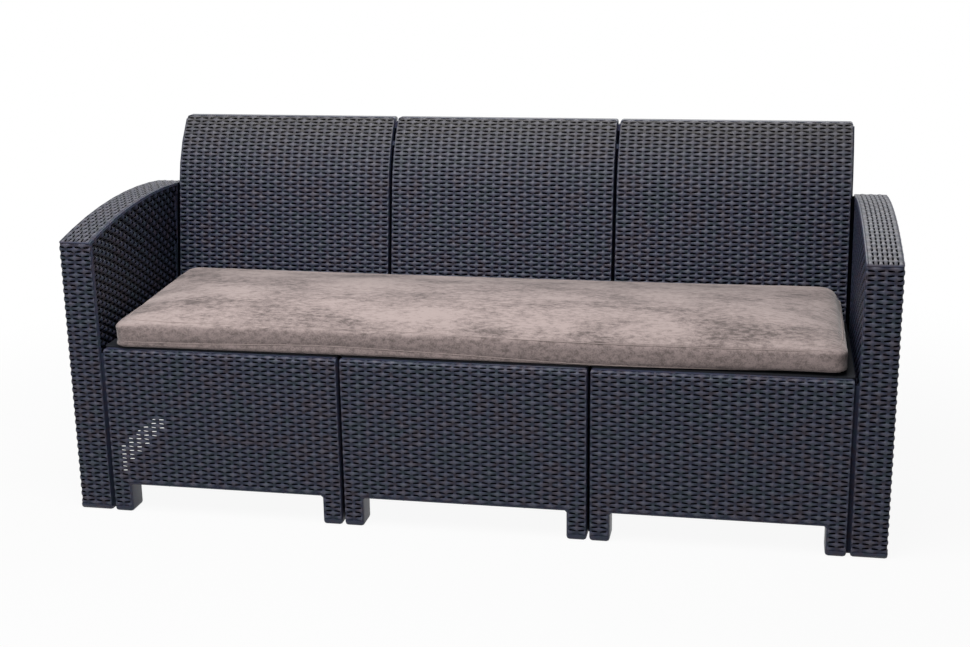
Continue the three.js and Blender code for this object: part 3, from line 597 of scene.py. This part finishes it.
def armSideField(low, high, side):
    radius = arm["corner"]
    inner = high.x - low.x
    across = inner - arm["inner"] - radius
    quarter = math.pi / 2 * radius
    depth = high.y - low.y - 2 * radius
    columns, column = fitted(2 * across + 2 * quarter + depth, weave["column"])
    full = arm["frontTop"] - arm["top"] - arm["foot"]
    rows, row = fitted(full, weave["row"])
    innerFace = low.x if side > 0 else high.x

    def place(u, v, out):
        # front, corner arc, outer side, corner arc and rear; the arcs turn the outward direction
        a = np.clip(u, 0, across)
        b = np.clip(u - across, 0, quarter) / radius
        c = np.clip(u - across - quarter, 0, depth)
        d = np.clip(u - across - quarter - depth, 0, quarter) / radius
        e = np.clip(u - across - 2 * quarter - depth, 0, across)
        x = arm["inner"] + a + radius * (np.sin(b) + np.cos(d) - 1) - e
        y = low.y + radius * (1 - np.cos(b)) + c + radius * np.sin(d)
        turn = b + d
        edge = arm["endEdge"] + (arm["sideEdge"] - arm["endEdge"]) * np.sin(turn)
        out = out - rolled(arm["top"] + full - v, edge) - rolled(x, arm["innerEdge"])
        z = arm["foot"] + fanned(v, y, full, low, high)
        return np.stack([innerFace + side * (x + out * np.sin(turn)), y - out * np.cos(turn), z], -1)

    mask = np.ones((rows, columns), bool)
    footLength = across + quarter + arm["footDepth"] + arm["footMargin"] - radius
    footColumns = math.ceil(footLength / column)
    archRows = math.ceil((arm["archTop"] - arm["foot"]) / row)
    mask[:archRows, footColumns:-footColumns] = False
    return dict(place=place, mask=mask, column=column, row=row)


def armTopField(low, high, side):
    columns, column = fitted(high.y - low.y - 2 * arm["topEnd"], weave["column"])
    rows, row = fitted(high.x - low.x - arm["topInner"] - arm["topOuter"], weave["row"])
    innerFace = low.x if side > 0 else high.x
    depth, width = high.y - low.y, high.x - low.x

    def place(u, v, out):
        # along the arc of the top; outward is square to it
        along, across = arm["topEnd"] + u, arm["topInner"] + v
        out = out - rolled(np.minimum(along, depth - along), arm["endEdge"]) \
            - rolled(width - across, arm["sideEdge"])
        y = low.y + along
        step = 1e-4
        slope = (armTop(y + step, low, high) - armTop(y - step, low, high)) / (2 * step)
        size = np.sqrt(1 + slope ** 2)
        x = innerFace + side * across
        return np.stack([x, y - out * slope / size, armTop(y, low, high) + out / size], -1)

    # painted light, the same all over the arm's top
    def faded(v):
        return np.full_like(v, arm["topPaintedLight"])

    return dict(place=place, mask=np.ones((rows, columns), bool), column=column, row=row, faded=faded)


def armInnerField(low, high, side):
    columns, column = fitted(high.y - low.y - 2 * arm["innerEnd"], weave["column"])
    full = arm["frontTop"] - arm["innerTop"] - arm["innerFoot"]
    rows, row = fitted(full, weave["row"])
    innerFace = low.x if side > 0 else high.x

    def place(u, v, out):
        # the flat inner face, looking at the seats
        y = low.y + arm["innerEnd"] + u
        z = arm["innerFoot"] + fanned(v, y, full, low, high)
        return np.stack([innerFace - side * out, y, z], -1)

    u = (np.arange(columns) + 0.5)[None] * column
    v = (np.arange(rows) + 0.5)[:, None] * row
    _, y, z = np.moveaxis(place(u + 0 * v, v + 0 * u, 0 * u * v), -1, 0)
    mask = np.ones((rows, columns), bool)
    for height in ("low", "high"):
        screwLow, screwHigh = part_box("arm_screw_right_back_" + height)
        at = (screwLow + screwHigh) / 2
        mask &= (abs(y - at.y) > arm["padReach"] + column / 2) | (abs(z - at.z) > arm["padReach"] + row / 2)
    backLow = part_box("back_shell_left")[0].y
    rib = backLow + (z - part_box("rear_panel_left")[1].z) * math.tan(backForm["lean"]) + arm["ribInset"]
    mask &= abs(y - rib) > arm["ribReach"] + column / 2 + row / 2 * math.tan(backForm["lean"])
    return dict(place=place, mask=mask, column=column, row=row,
                relief=arm["innerRelief"], shade=arm["innerShade"])


def innerArchCutter(low, high, side, depth):
    inner = low.x if side > 0 else high.x
    reach = sorted((inner - side * arm["innerArchDepth"], inner + side * depth))
    return blockMesh(
        (reach[0], low.y + arm["innerArchFrom"], -arm["foot"]),
        (reach[1], low.y + arm["innerArchTo"], arm["innerArch"]),
    )


resinPieces = []
for seat in seats:
    frontField = panelField(*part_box("front_panel_" + seat), -1)
    windows = []
    if seat == "left":
        frontField = letLightThrough(frontField)
        windows = [blockMesh(lightBand["ribFrom"], lightBand["ribTo"])]
    resinPieces += [
        wovenMoulding("front_panel_" + seat, [frontField], windows),
        wovenMoulding("rear_panel_" + seat, [panelField(*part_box("rear_panel_" + seat), 1)]),
        wovenBack(seat),
    ]
    print("seat", seat, "woven")


for name, side in sides.items():
    box = armBox(name, side)
    sideField = armSideField(*box, side)
    openings = [innerArchCutter(*box, side, depth)
                for depth in (arm["width"] - arm["skin"], arm["innerArchDepth"])]
    resinPieces += [
        wovenMoulding("arm_shell_" + name, [sideField, armTopField(*box, side)], openings[:1]),
        wovenMoulding("arm_panel_" + name, [armInnerField(*box, side)],
                      [openings[1], slabMesh("wrap", **sideField)]),
    ]
    print("arm", name, "woven")

# Seat cushion: swollen by a cloth simulation round the CAD form
cushion = {
    "inset": 0.004,  # it starts this much smaller and swells
    "flatUp": 0.8,  # a face counts as flat where its normal rises more than this
    "heldFoot": 0.002,  # points up to this height above its lowest ones are held
    "voxel": 0.009,
    "smoothing": 2,  # rounds
    "smoothShare": 0.5,
    "pressure": 4.0,
    "quality": 3,
    "frames": 20,
    "cap": 0.008,  # farthest that a point may swell
    "border": 0.054,  # height of the upper seam over the underside
    "borderRise": 0.008,  # how much higher it is at the rear
    "seamHold": 0.006,  # this far from a seam its hold has faded to a half
    "lowSeam": 0.015,
    "groove": 0.0022,
    "lowGroove": 0.8,  # the lower seam's groove, as a share of it
    "grooveHalf": 0.0045,
    "sideTurn": 1.6,  # how soon the grooves take hold where the cover turns from flat to upright
    "bead": 0.0009,  # radius of the stitched edge in each seam
    "beadStep": 0.006,  # from one ring of it to the next
    "beadSmoothing": 3,  # rounds
    # the upper seam's wave: it falls from left to right at a place, and rises again at the right end
    "upperWave": {"base": 0.003, "fall": 0.005, "fallAt": 0.05, "fallOver": 0.25,
                  "rise": 0.008, "riseAt": 0.86, "riseOver": 0.10},
    # the lower seam's: a hump, and to the right of it a fall under the edge
    "lowerWave": {"hump": 0.0075, "humpAt": -0.32, "humpOver": 0.22,
                  "fall": 0.005, "fallAt": 0.12, "fallOver": 0.12},
    "pucker": 0.0007,
    "puckerReach": 0.016,
    "puckerTurns": (140, 90),  # radians in each metre of length and of depth
    "puckerCounts": (1.0, 1.7, 2.6),
    "puckerShifts": (0.4, 2.1, 4.0),
    "backGap": 0.0012,  # from the backs
    # how far the cover passes the solid's low and high sides
    "spread": ((0.000, 0.006, 0), (-0.005, 0, 0.003)),
    "crown": 0.040,
    "square": 0.0045,
    "crownEdge": 0.005,  # the crown takes hold over this height above the upper seam
    "giveFrom": 0.25,  # the front edge gives way to the right of here, over a length
    "giveOver": 0.5,
    "setback": 0.009,  # of the front edge near the right end
    "lift": 0.006,  # of its underside there
}


# Height of the upper seam: border + rise * depth share + a slow wave along the length that the photo shows
def upperSeam(x, y, low, high):
    share = (y - low.y) / (high.y - low.y)
    form = cushion["upperWave"]
    wave = form["base"] - form["fall"] * np.tanh((x - form["fallAt"]) / form["fallOver"]) \
        + form["rise"] * np.exp(-((x - form["riseAt"]) / form["riseOver"]) ** 2)
    return low.z + cushion["border"] + cushion["borderRise"] * share + wave * (1 - share)


# Height of the lower seam: a hump left of the middle, and it slips under the edge on the right
def lowerSeam(x, y, low, high):
    share = (y - low.y) / (high.y - low.y)
    form = cushion["lowerWave"]
    wave = form["hump"] * np.exp(-((x - form["humpAt"]) / form["humpOver"]) ** 2) \
        - form["fall"] * (1 + np.tanh((x - form["fallAt"]) / form["fallOver"]))
    return low.z + cushion["lowSeam"] + wave * (1 - share)


# The cover is stretched to the solid's size, and its crown stays full towards the ends and the rear:
# u, v from -1 to 1; towards the rear a crown of (1 - u^12) * (1 - v^4) becomes (1 - u^50) * (1 - v^14),
# and the four corners are drawn out by square * (u * v)^8
def fuller(points, low, high):
    spread = np.array(cushion["spread"])
    wanted = np.array([low, high]) + [[-1], [1]] * spread
    now = np.array([points.min(0), points.max(0)])
    points = wanted[0] + (points - now[0]) * (wanted[1] - wanted[0]) / (now[1] - now[0])
    x, y, z = points.T
    u, v = (2 * (p - a) / (b - a) - 1 for p, a, b in ((x, *wanted[:, 0]), (y, *wanted[:, 1])))
    over = np.clip((z - upperSeam(x, y, low, high)) / cushion["crownEdge"], 0, 1)
    u, v = np.clip(u, -1, 1), np.clip(v, -1, 1)
    full = (1 - u ** 50) * (1 - np.where(v > 0, v ** 14, v ** 4))
    deeper = (1 + v) / 2
    points[:, 2] += over * cushion["crown"] * deeper * (full - (1 - u ** 12) * (1 - v ** 4))
    points[:, :2] += cushion["square"] * (np.sign([u, v]) * (u * v) ** 8).T
    right = np.clip((x - cushion["giveFrom"]) / cushion["giveOver"], 0, 1)
    front = right ** 2 * (3 - 2 * right) * (1 - v) / 2
    points[:, 1] += cushion["setback"] * front
    points[:, 2] += cushion["lift"] * front ** 2 * np.clip(1 - (z - low.z) / cushion["border"], 0, 1)
    return points


def clearOfNeighbours(points, low):
    # over the deck, and in front of the backs' lean: y <= face at shelf height + (z - shelf) * tan(lean)
    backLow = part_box("back_shell_left")[0].y
    face = backLow + (points[:, 2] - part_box("rear_panel_left")[1].z) * math.tan(backForm["lean"])
    points[:, 1] = np.minimum(points[:, 1], face - cushion["backGap"])
    points[:, 2] = np.maximum(points[:, 2], low.z)
    return points


def normalsOf(mesh):
    normals = np.empty(len(mesh.vertices) * 3, np.float32)
    mesh.vertices.foreach_get("normal", normals)
    return normals.reshape(-1, 3).astype(float)


def swell(piece, low, high):
    # points near the seams and underneath are pinned, the rest moves out under pressure
    start = pointsOf(piece.data)
    x, y, z = start.T
    near = np.minimum(abs(z - upperSeam(x, y, low, high)), abs(z - lowerSeam(x, y, low, high)))
    flat = abs(normalsOf(piece.data)[:, 2]) > cushion["flatUp"]
    held = np.clip(1.5 - near / cushion["seamHold"], 0, 1) * ~flat
    held = np.maximum(held, z < low.z + cushion["inset"] + cushion["heldFoot"])
    group = piece.vertex_groups.new(name="held")
    for weight in np.unique(np.round(held, 1)):
        group.add(np.nonzero(np.round(held, 1) == weight)[0].tolist(), float(weight), "REPLACE")
    cloth = piece.modifiers.new("cloth", "CLOTH")
    cloth.settings.use_pressure = True
    cloth.settings.uniform_pressure_force = cushion["pressure"]
    cloth.settings.effector_weights.gravity = 0
    cloth.settings.vertex_group_mass = "held"
    cloth.settings.quality = cushion["quality"]
    cloth.point_cache.frame_end = cushion["frames"]
    scene = bpy.context.scene
    for step in range(1, cushion["frames"] + 1):
        scene.frame_set(step)
    graph = bpy.context.evaluated_depsgraph_get()
    swollen = pointsOf(piece.evaluated_get(graph).data)
    scene.frame_set(1)
    piece.modifiers.clear()
    piece.vertex_groups.clear()
    moved = swollen - start
    size = np.linalg.norm(moved, axis=1, keepdims=True)
    capped = cushion["cap"] * np.tanh(size / cushion["cap"])
    setPoints(piece.data, start + moved * capped / np.maximum(size, 1e-9))


# Mean of slow and quick waves round the cushion
def ripple(angle, counts, shifts):
    return sum(np.sin(n * angle + s) for n, s in zip(counts, shifts)) / len(counts)


def sewn(piece, low, high):
    # a groove along each seam: depth * exp(-(distance/half)^2), with small puckers square to it
    points, normals = pointsOf(piece.data), normalsOf(piece.data)
    x, y, z = points.T
    middle = (low + high) / 2
    turnsX, turnsY = cushion["puckerTurns"]
    about = x * turnsX + np.sign(y - middle.y) * y * turnsY
    side = np.clip(cushion["sideTurn"] * (1 - abs(normals[:, 2])), 0, 1)
    for seam, share in ((upperSeam, 1.0), (lowerSeam, cushion["lowGroove"])):
        gap = z - seam(x, y, low, high)
        groove = share * cushion["groove"] * np.exp(-(gap / cushion["grooveHalf"]) ** 2)
        reach = np.exp(-abs(gap) / cushion["puckerReach"])
        wave = ripple(about, cushion["puckerCounts"], cushion["puckerShifts"])
        pucker = cushion["pucker"] * reach * wave
        points -= normals * (side * (groove + pucker))[:, None]
    setPoints(piece.data, points)


# The line where the cushion's side meets a seam's height: crossings of the edges, in order of their angle
def seamPath(piece, seam, low, high):
    points = pointsOf(piece.data)
    edges = np.empty(len(piece.data.edges) * 2, np.int32)
    piece.data.edges.foreach_get("vertices", edges)
    a, b = points[edges.reshape(-1, 2)].transpose(1, 0, 2)
    da, db = (p[:, 2] - seam(p[:, 0], p[:, 1], low, high) for p in (a, b))
    crossing = (da < 0) != (db < 0)
    a, b, da, db = a[crossing], b[crossing], da[crossing, None], db[crossing, None]
    found = a + (b - a) * da / (da - db)
    middle = (low + high) / 2
    angle = np.arctan2(
        (found[:, 1] - middle.y) / (high.y - low.y), (found[:, 0] - middle.x) / (high.x - low.x))
    order = np.argsort(angle)
    found, angle = found[order], angle[order]
    length = np.cumsum(np.r_[0, np.linalg.norm(np.diff(found, axis=0), axis=1)])
    stops = np.linspace(0, length[-1], int(length[-1] / cushion["beadStep"]), endpoint=False)
    path = np.stack([np.interp(stops, length, found[:, k]) for k in range(3)], -1)
    for _ in range(cushion["beadSmoothing"]):
        path = (np.roll(path, 1, 0) + 2 * path + np.roll(path, -1, 0)) / 4
    return path


# A closed tube round a path: centre + radius * (cos t * outward + sin t * upward)
def beadMesh(name, path, radius, corners=8):
    tangent = np.roll(path, -1, 0) - np.roll(path, 1, 0)
    tangent /= np.linalg.norm(tangent, axis=1, keepdims=True)
    outward = np.cross(tangent, (0, 0, 1))
    outward /= np.linalg.norm(outward, axis=1, keepdims=True)
    upward = np.cross(outward, tangent)
    t = np.arange(corners) / corners * 2 * np.pi
    points = path[:, None] + radius * (
        np.cos(t)[None, :, None] * outward[:, None] + np.sin(t)[None, :, None] * upward[:, None])
    count = len(path)
    i, j = np.meshgrid(np.arange(count), np.arange(corners), indexing="ij")
    quads = np.stack([
        i * corners + j, (i + 1) % count * corners + j,
        (i + 1) % count * corners + (j + 1) % corners, i * corners + (j + 1) % corners,
    ], -1).reshape(-1, 4)
    return meshOf(name, points.reshape(-1, 3), [quads])


def makeCushion():
    low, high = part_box("seat_cushion")
    piece = copyOf("seat_cushion", "seat_cushion_cover")
    remesh = piece.modifiers.new("remesh", "REMESH")
    remesh.mode = "VOXEL"
    remesh.voxel_size = cushion["voxel"]
    smooth = piece.modifiers.new("smooth", "SMOOTH")
    smooth.factor = cushion["smoothShare"]
    smooth.iterations = cushion["smoothing"]
    applied(piece)
    setPoints(piece.data, pointsOf(piece.data) - cushion["inset"] * normalsOf(piece.data))
    swell(piece, low, high)
    setPoints(piece.data, fuller(pointsOf(piece.data), low, high))
    finer = piece.modifiers.new("finer", "SUBSURF")
    finer.levels = finer.render_levels = 1
    applied(piece)
    sewn(piece, low, high)
    setPoints(piece.data, clearOfNeighbours(pointsOf(piece.data), low))
    smoothByAngle(piece.data, 180)
    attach(piece, "cushion")
    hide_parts("seat_cushion")
    beads = []
    for name, seam in (("upper", upperSeam), ("lower", lowerSeam)):
        path = seamPath(piece, seam, low, high)
        bead = objectOf("cushion_seam_" + name, beadMesh("bead", path, cushion["bead"]))
        smoothByAngle(bead.data, 180)
        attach(bead, "cushion")
        beads.append(bead)
    return piece, beads


cover, beads = makeCushion()
print("cushion sewn")


# Materials. A signal is one output of a node; sums and products of signals add their Math nodes.
class Signal:
    def __init__(self, finish, socket):
        self.finish, self.socket = finish, socket

    def math(self, operation, *others):
        values = dict(enumerate((self, *others)))
        return self.finish.add("Math", {"operation": operation}, values)

    def __add__(self, other):
        return self.math("ADD", other)

    def __sub__(self, other):
        return self.math("SUBTRACT", other)

    def __rsub__(self, other):
        return self.finish.add("Math", {"operation": "SUBTRACT"}, {0: other, 1: self})

    def __mul__(self, other):
        return self.math("MULTIPLY", other)

    __radd__ = __add__
    __rmul__ = __mul__


class Finish:
    def __init__(self, tree):
        self.tree = tree
        tree.nodes.clear()

    def add(self, kind, settings=None, sockets=None, output=0):
        # a node's settings come first, then the values or links of its sockets
        made = self.tree.nodes.new("ShaderNode" + kind)
        for key, value in (settings or {}).items():
            if key == "stops":
                ramp = made.color_ramp.elements
                while len(ramp) < len(value):
                    ramp.new(0.5)
                for stop, (position, colour) in zip(ramp, value):
                    stop.position, stop.color = position, (*colour, 1)
            else:
                setattr(made, key, value)
        for key, value in (sockets or {}).items():
            if isinstance(value, Signal):
                self.tree.links.new(value.socket, made.inputs[key])
            else:
                made.inputs[key].default_value = value
        return Signal(self, made.outputs[output])

    def end(self, kind, shader):
        made = self.tree.nodes.new("ShaderNode" + kind)
        self.tree.links.new(shader.socket, made.inputs["Surface"])

    def noise(self, place, scale, detail=3, roughness=0.5, output="Fac"):
        sockets = {"Vector": place, "Scale": scale, "Detail": detail, "Roughness": roughness}
        return self.add("TexNoise", {}, sockets, output)

    def stretched(self, place, scale):
        return self.add("Mapping", {}, {"Vector": place, "Scale": scale})

    def coloured(self, tone, look):
        # a ramp through a look's own colours
        stops = [(at, look[name]) for name, at in look["stops"].items()]
        return self.add("ValToRGB", {"stops": stops}, {"Fac": tone}, "Color")

    def between(self, value, low, high):
        # 0 below low, 1 above high
        return self.add("MapRange", {"interpolation_type": "SMOOTHSTEP"}, {0: value, 1: low, 2: high})

    def mix(self, factor, first, second, blend="MIX"):
        settings = {"data_type": "RGBA", "blend_type": blend, "clamp_factor": True}
        colours = [c if isinstance(c, Signal) else (*c, 1) for c in (first, second)]
        return self.add("Mix", settings, {0: factor, 6: colours[0], 7: colours[1]}, 2)

    def bump(self, height, strength, distance, normal=None):
        sockets = {"Height": height, "Strength": strength, "Distance": distance}
        if normal:
            sockets["Normal"] = normal
        return self.add("Bump", {}, sockets)


def materialOf(name, build):
    material = bpy.data.materials.new(name)
    material.use_nodes = True
    finish = Finish(material.node_tree)
    shader = build(finish)
    if not isinstance(shader, Signal):
        shader = finish.add("BsdfPrincipled", {}, shader)
    finish.end("OutputMaterial", shader)
    return material


resinLook = {
    "teal": (0.020, 0.032, 0.048),
    "blue": (0.024, 0.029, 0.060),
    "plum": (0.035, 0.028, 0.044),
    "stops": {"teal": 0.40, "blue": 0.50, "plum": 0.60},  # where each colour stands in the clouds
    "wideCloud": (14, 4, 0.6),  # scale, detail and roughness of a noise
    "smallCloud": (75, 2, 0.5),
    "wideShare": 0.45,
    # wear and a painted highlight on the strands' crests
    "wearAndHighlight": (0.125, 0.124, 0.155),
    "wearAndHighlightShare": 0.6,
    "rub": (60, 5, 0.65),
    "rubFrom": 0.35,
    "rubTo": 0.70,
    "faded": (0.057, 0.054, 0.056),  # painted light on the arms' tops and, in part, the upper backs
    # painted shade in the slots: a near-black colour, and how much of it they take
    "slot": (0.0012, 0.0014, 0.0028),
    "slotShare": 0.85,
    "roughness": 0.33,
    "roughnessDrift": 0.14,
    "specular": 0.24,
    "fibre": 0.0011,  # from one fine groove along a strand to the next
    "fibreWander": 6,  # how far the grooves stray, in radians of their own wave
    "fibreDepth": 0.00010,
    "patchScales": (120, 900),  # along and across a strand
    "grainScale": 900,
    "grainDepth": 0.00008,
}


def resin(finish):
    place = finish.add("TexCoord", output="Object")
    strand = finish.add("UVMap", {"uv_map": "strand"}, {}, "UV")
    sunk = finish.add("Attribute", {"attribute_name": "sunk"}, {}, "Fac")
    across = finish.add("SeparateXYZ", {}, {0: strand}, "Y")
    along = finish.add("SeparateXYZ", {}, {0: strand}, "X")
    cloud = resinLook["wideShare"] * finish.noise(place, *resinLook["wideCloud"]) \
        + (1 - resinLook["wideShare"]) * finish.noise(place, *resinLook["smallCloud"])
    base = finish.coloured(cloud, resinLook)
    rubbed = finish.noise(place, *resinLook["rub"])
    rub = finish.between(rubbed, resinLook["rubFrom"], resinLook["rubTo"])
    # worn, with a painted highlight, where it stands proud, and more so in rubbed patches; the slots are
    # painted dark as shade
    wearAndHighlight = finish.between(0.15 - sunk, 0.02, 0.14) * (0.3 + 0.7 * rub)
    # painted light: the arms' tops and upper backs turn towards a lighter grey, patchy where rubbed
    faded = finish.add("Attribute", {"attribute_name": "faded"}, {}, "Fac")
    base = finish.mix(faded * (0.55 + 0.45 * rub), base, resinLook["faded"])
    colour = finish.mix(wearAndHighlight * resinLook["wearAndHighlightShare"], base, resinLook["wearAndHighlight"])
    # painted shade: the deeper a point, the more of the slot's colour
    slotShade = finish.between(sunk, 0.05, 0.30) * resinLook["slotShare"]
    colour = finish.mix(slotShade, colour, resinLook["slot"])
    fibre = across * (2 * math.pi / resinLook["fibre"]) + finish.noise(place, 40) * resinLook["fibreWander"]
    fibre = fibre.math("SINE")
    strands = finish.bump(fibre, 0.6, resinLook["fibreDepth"])
    patchAlong, patchAcross = resinLook["patchScales"]
    strandPlace = finish.add("CombineXYZ", {}, {0: along * patchAlong, 1: across * patchAcross})
    patches = finish.noise(strandPlace, 1, 2)
    grain = finish.noise(place, resinLook["grainScale"], 2) + patches * 0.6
    moulded = finish.add("BsdfPrincipled", {}, {
        "Base Color": colour,
        "Roughness": resinLook["roughness"] + resinLook["roughnessDrift"] * finish.noise(place, 35, 4),
        "Specular IOR Level": resinLook["specular"],
        "Normal": finish.bump(grain, 0.5, resinLook["grainDepth"], strands),
    })
    # painted shade: the deepest points and the dark strips become a near-black matt finish
    dark = finish.add("BsdfDiffuse", {}, {"Color": (*resinLook["slot"], 1)})
    return finish.add("MixShader", {}, {0: finish.between(sunk, 0.34, 0.6), 1: moulded, 2: dark})


# a darker copy of the resin for the parts in the cushion's shade: its colours are painted shade
shadedLook = {
    "light": (0.012, 0.013, 0.018),
    "dark": (0.006, 0.007, 0.010),
    "roughness": 0.6,
    "roughnessDrift": 0.15,
    "specular": 0.25,
    "cloud": (14, 4, 0.6),
    "scuff": (420, 3, 0.6),
    "scuffDepth": 0.00012,
}


def shadedResin(finish):
    place = finish.add("TexCoord", output="Object")
    cloud = finish.between(finish.noise(place, *shadedLook["cloud"]), 0.3, 0.7)
    scuff = finish.noise(place, *shadedLook["scuff"])
    return {
        "Base Color": finish.mix(cloud, shadedLook["dark"], shadedLook["light"]),
        "Roughness": shadedLook["roughness"] + shadedLook["roughnessDrift"] * cloud,
        "Specular IOR Level": shadedLook["specular"],
        "Normal": finish.bump(scuff, 0.4, shadedLook["scuffDepth"]),
    }


steelLook = {
    "light": (0.66, 0.67, 0.68),
    "dark": (0.42, 0.43, 0.45),
    "roughness": 0.28,
    "roughnessDrift": 0.2,
    "brushing": (900, 300, 4000),
    "brushDepth": 0.00005,
}


def screwSteel(finish):
    place = finish.add("TexCoord", output="Object")
    brushed = finish.noise(finish.stretched(place, steelLook["brushing"]), 1, 3)
    return {
        "Base Color": finish.mix(finish.noise(place, 90, 3), steelLook["dark"], steelLook["light"]),
        "Metallic": 1.0,
        "Roughness": steelLook["roughness"] + steelLook["roughnessDrift"] * brushed,
        "Normal": finish.bump(brushed, 0.3, steelLook["brushDepth"]),
    }


suedeLook = {
    "pale": (0.355, 0.287, 0.272),
    "middle": (0.235, 0.187, 0.178),
    "deep": (0.105, 0.083, 0.079),
    "stops": {"deep": 0.40, "middle": 0.47, "pale": 0.56},  # where each stands in the mottling
    "mottling": (0.45, 0.42, 0.13),  # shares of the clouds, the flecks and the specks
    "cloudScale": (5, 11, 8),
    "fleckScale": (55, 150, 90),
    "speck": (340, 3, 0.6),
    # the border's colours: more even than the top's, and darker in part as painted shade for the upright
    # sides
    "side": (0.29, 0.229, 0.220),
    "sideDeep": (0.135, 0.107, 0.102),
    "sideFrom": 0.36,
    "sideTo": 0.60,
    "topFrom": 0.045,  # over the underside, where the top's mottling begins
    "topFull": 0.062,
    "thread": (0.40, 0.325, 0.305),
    "roughness": 0.9,
    "roughnessDrift": 0.1,
    "fleckDepth": 0.0012,
    "pileDepth": 0.0003,
    "twistDepth": 0.0003,
}


def suede(finish):
    place = finish.add("TexCoord", output="Object")
    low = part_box("seat_cushion")[0]
    cloud = finish.noise(finish.stretched(place, suedeLook["cloudScale"]), 1, 5, 0.62)
    fleck = finish.noise(finish.stretched(place, suedeLook["fleckScale"]), 1, 4, 0.7)
    speck = finish.noise(place, *suedeLook["speck"])
    clouds, flecks, specks = suedeLook["mottling"]
    top = finish.coloured(cloud * clouds + fleck * flecks + speck * specks, suedeLook)
    height = finish.add("SeparateXYZ", {}, {0: place}, "Z")
    onTop = finish.between(height, low.z + suedeLook["topFrom"], low.z + suedeLook["topFull"])
    # the border is darker than the top, in part as painted shade
    sideTone = finish.between(fleck * 0.6 + speck * 0.4, suedeLook["sideFrom"], suedeLook["sideTo"])
    border = finish.mix(sideTone, suedeLook["sideDeep"], suedeLook["side"])
    pile = finish.bump(finish.noise(place, 1500, 2), 0.5, suedeLook["pileDepth"])
    return {
        "Base Color": finish.mix(onTop, border, top),
        "Roughness": suedeLook["roughness"] - suedeLook["roughnessDrift"] * fleck,
        "Specular IOR Level": 0.2,
        "Sheen Weight": 0.25,
        "Sheen Roughness": 0.5,
        "Normal": finish.bump(fleck, 0.35, suedeLook["fleckDepth"], pile),
    }


def seamThread(finish):
    place = finish.add("TexCoord", output="Object")
    twist = finish.noise(place, 900, 2)
    return {
        "Base Color": finish.mix(twist, suedeLook["middle"], suedeLook["thread"]),
        "Roughness": 0.85,
        "Normal": finish.bump(twist, 0.5, suedeLook["twistDepth"]),
    }


finishes = {
    "resin": materialOf("moulded_resin", resin),
    "shaded_resin": materialOf("shaded_resin", shadedResin),
    "screw_steel": materialOf("screw_steel", screwSteel),
    "cushion_cover": materialOf("cushion_suede", suede),
}


def dress(piece, material):
    piece.data.materials.clear()
    piece.data.materials.append(material)


for piece in resinPieces:
    dress(piece, finishes["resin"])
dress(cover, finishes["cushion_cover"])
thread = materialOf("seam_thread", seamThread)
for bead in beads:
    dress(bead, thread)
for part in frame["record"]["subparts"]:
    for slot in nodes[part["node"]].material_slots:
        slot.material = finishes[part["material_slot"]]
print("finishes made")

# Light: a white room, a large soft lamp overhead, a weaker one behind and a floor that keeps the shadow
light = {
    "world": 0.10,
    "lamps": {
        # place, what it points at, size and power
        "soft_lamp": ((-0.45, -1.3, 2.9), (0, 0, 0.2), (2.2, 2.2), 120),
        "rear_lamp": ((0.5, 2.3, 2.6), (0, 0.2, 0.6), (2.6, 1.4), 45),
    },
    "floorSize": 60.0,
    "floorColour": (0.55, 0.55, 0.55),
    "glowNear": 0.93,  # share of the floor's own white beside the sofa
    "nearRadius": 1.2,
    "farRadius": 2.4,
}


def seenDirectly(finish):
    # camera, glossy and transmission rays
    rays = [finish.add("LightPath", output=name) for name in
            ("Is Camera Ray", "Is Glossy Ray", "Is Transmission Ray")]
    return (rays[0] + rays[1] + rays[2]).math("MINIMUM", 1)


def makeWorld():
    world = bpy.data.worlds.new("room")
    bpy.context.scene.world = world
    world.use_nodes = True
    finish = Finish(world.node_tree)
    seen = seenDirectly(finish)
    strength = light["world"] + seen * (1 - light["world"])
    shader = finish.add("Background", {}, {"Color": (1, 1, 1, 1), "Strength": strength})
    finish.end("OutputWorld", shader)


def makeLamp(name, place, target, size, power):
    data = bpy.data.lights.new(name, "AREA")
    data.shape = "RECTANGLE"
    data.size, data.size_y = size
    data.energy = power
    lamp = bpy.data.objects.new(name, data)
    turned = (Vector(place) - Vector(target)).to_track_quat("Z", "Y")
    lamp.matrix_world = Matrix.Translation(place) @ turned.to_matrix().to_4x4()
    bpy.context.scene.collection.objects.link(lamp)


def makeFloor():
    half = light["floorSize"] / 2
    corners = np.array([[-half, -half, 0], [half, -half, 0], [half, half, 0], [-half, half, 0]])
    floor = objectOf("floor", meshOf("floor", corners, [np.array([[0, 1, 2, 3]])]))
    material = bpy.data.materials.new("white_floor")
    material.use_nodes = True
    finish = Finish(material.node_tree)
    place = finish.add("TexCoord", output="Object")
    distance = finish.add("VectorMath", {"operation": "LENGTH"}, {0: place}, "Value")
    glow = light["glowNear"] + finish.between(distance, light["nearRadius"], light["farRadius"]) \
        * (1 - light["glowNear"])
    matt = finish.add("BsdfDiffuse", {}, {"Color": (*light["floorColour"], 1)})
    white = finish.add("Emission", {}, {"Color": (1, 1, 1, 1), "Strength": 1.0})
    shader = finish.add("MixShader", {}, {0: seenDirectly(finish) * glow, 1: matt, 2: white})
    finish.end("OutputMaterial", shader)
    dress(floor, material)


makeWorld()
for name, values in light["lamps"].items():
    makeLamp(name, *values)
makeFloor()
bpy.context.scene.view_settings.view_transform = "Standard"
print("lit; triangles of the mouldings:",
      sum(len(p.data.loops) - 2 * len(p.data.polygons) for p in resinPieces),
      "of the cushion:", len(cover.data.loops) - 2 * len(cover.data.polygons))
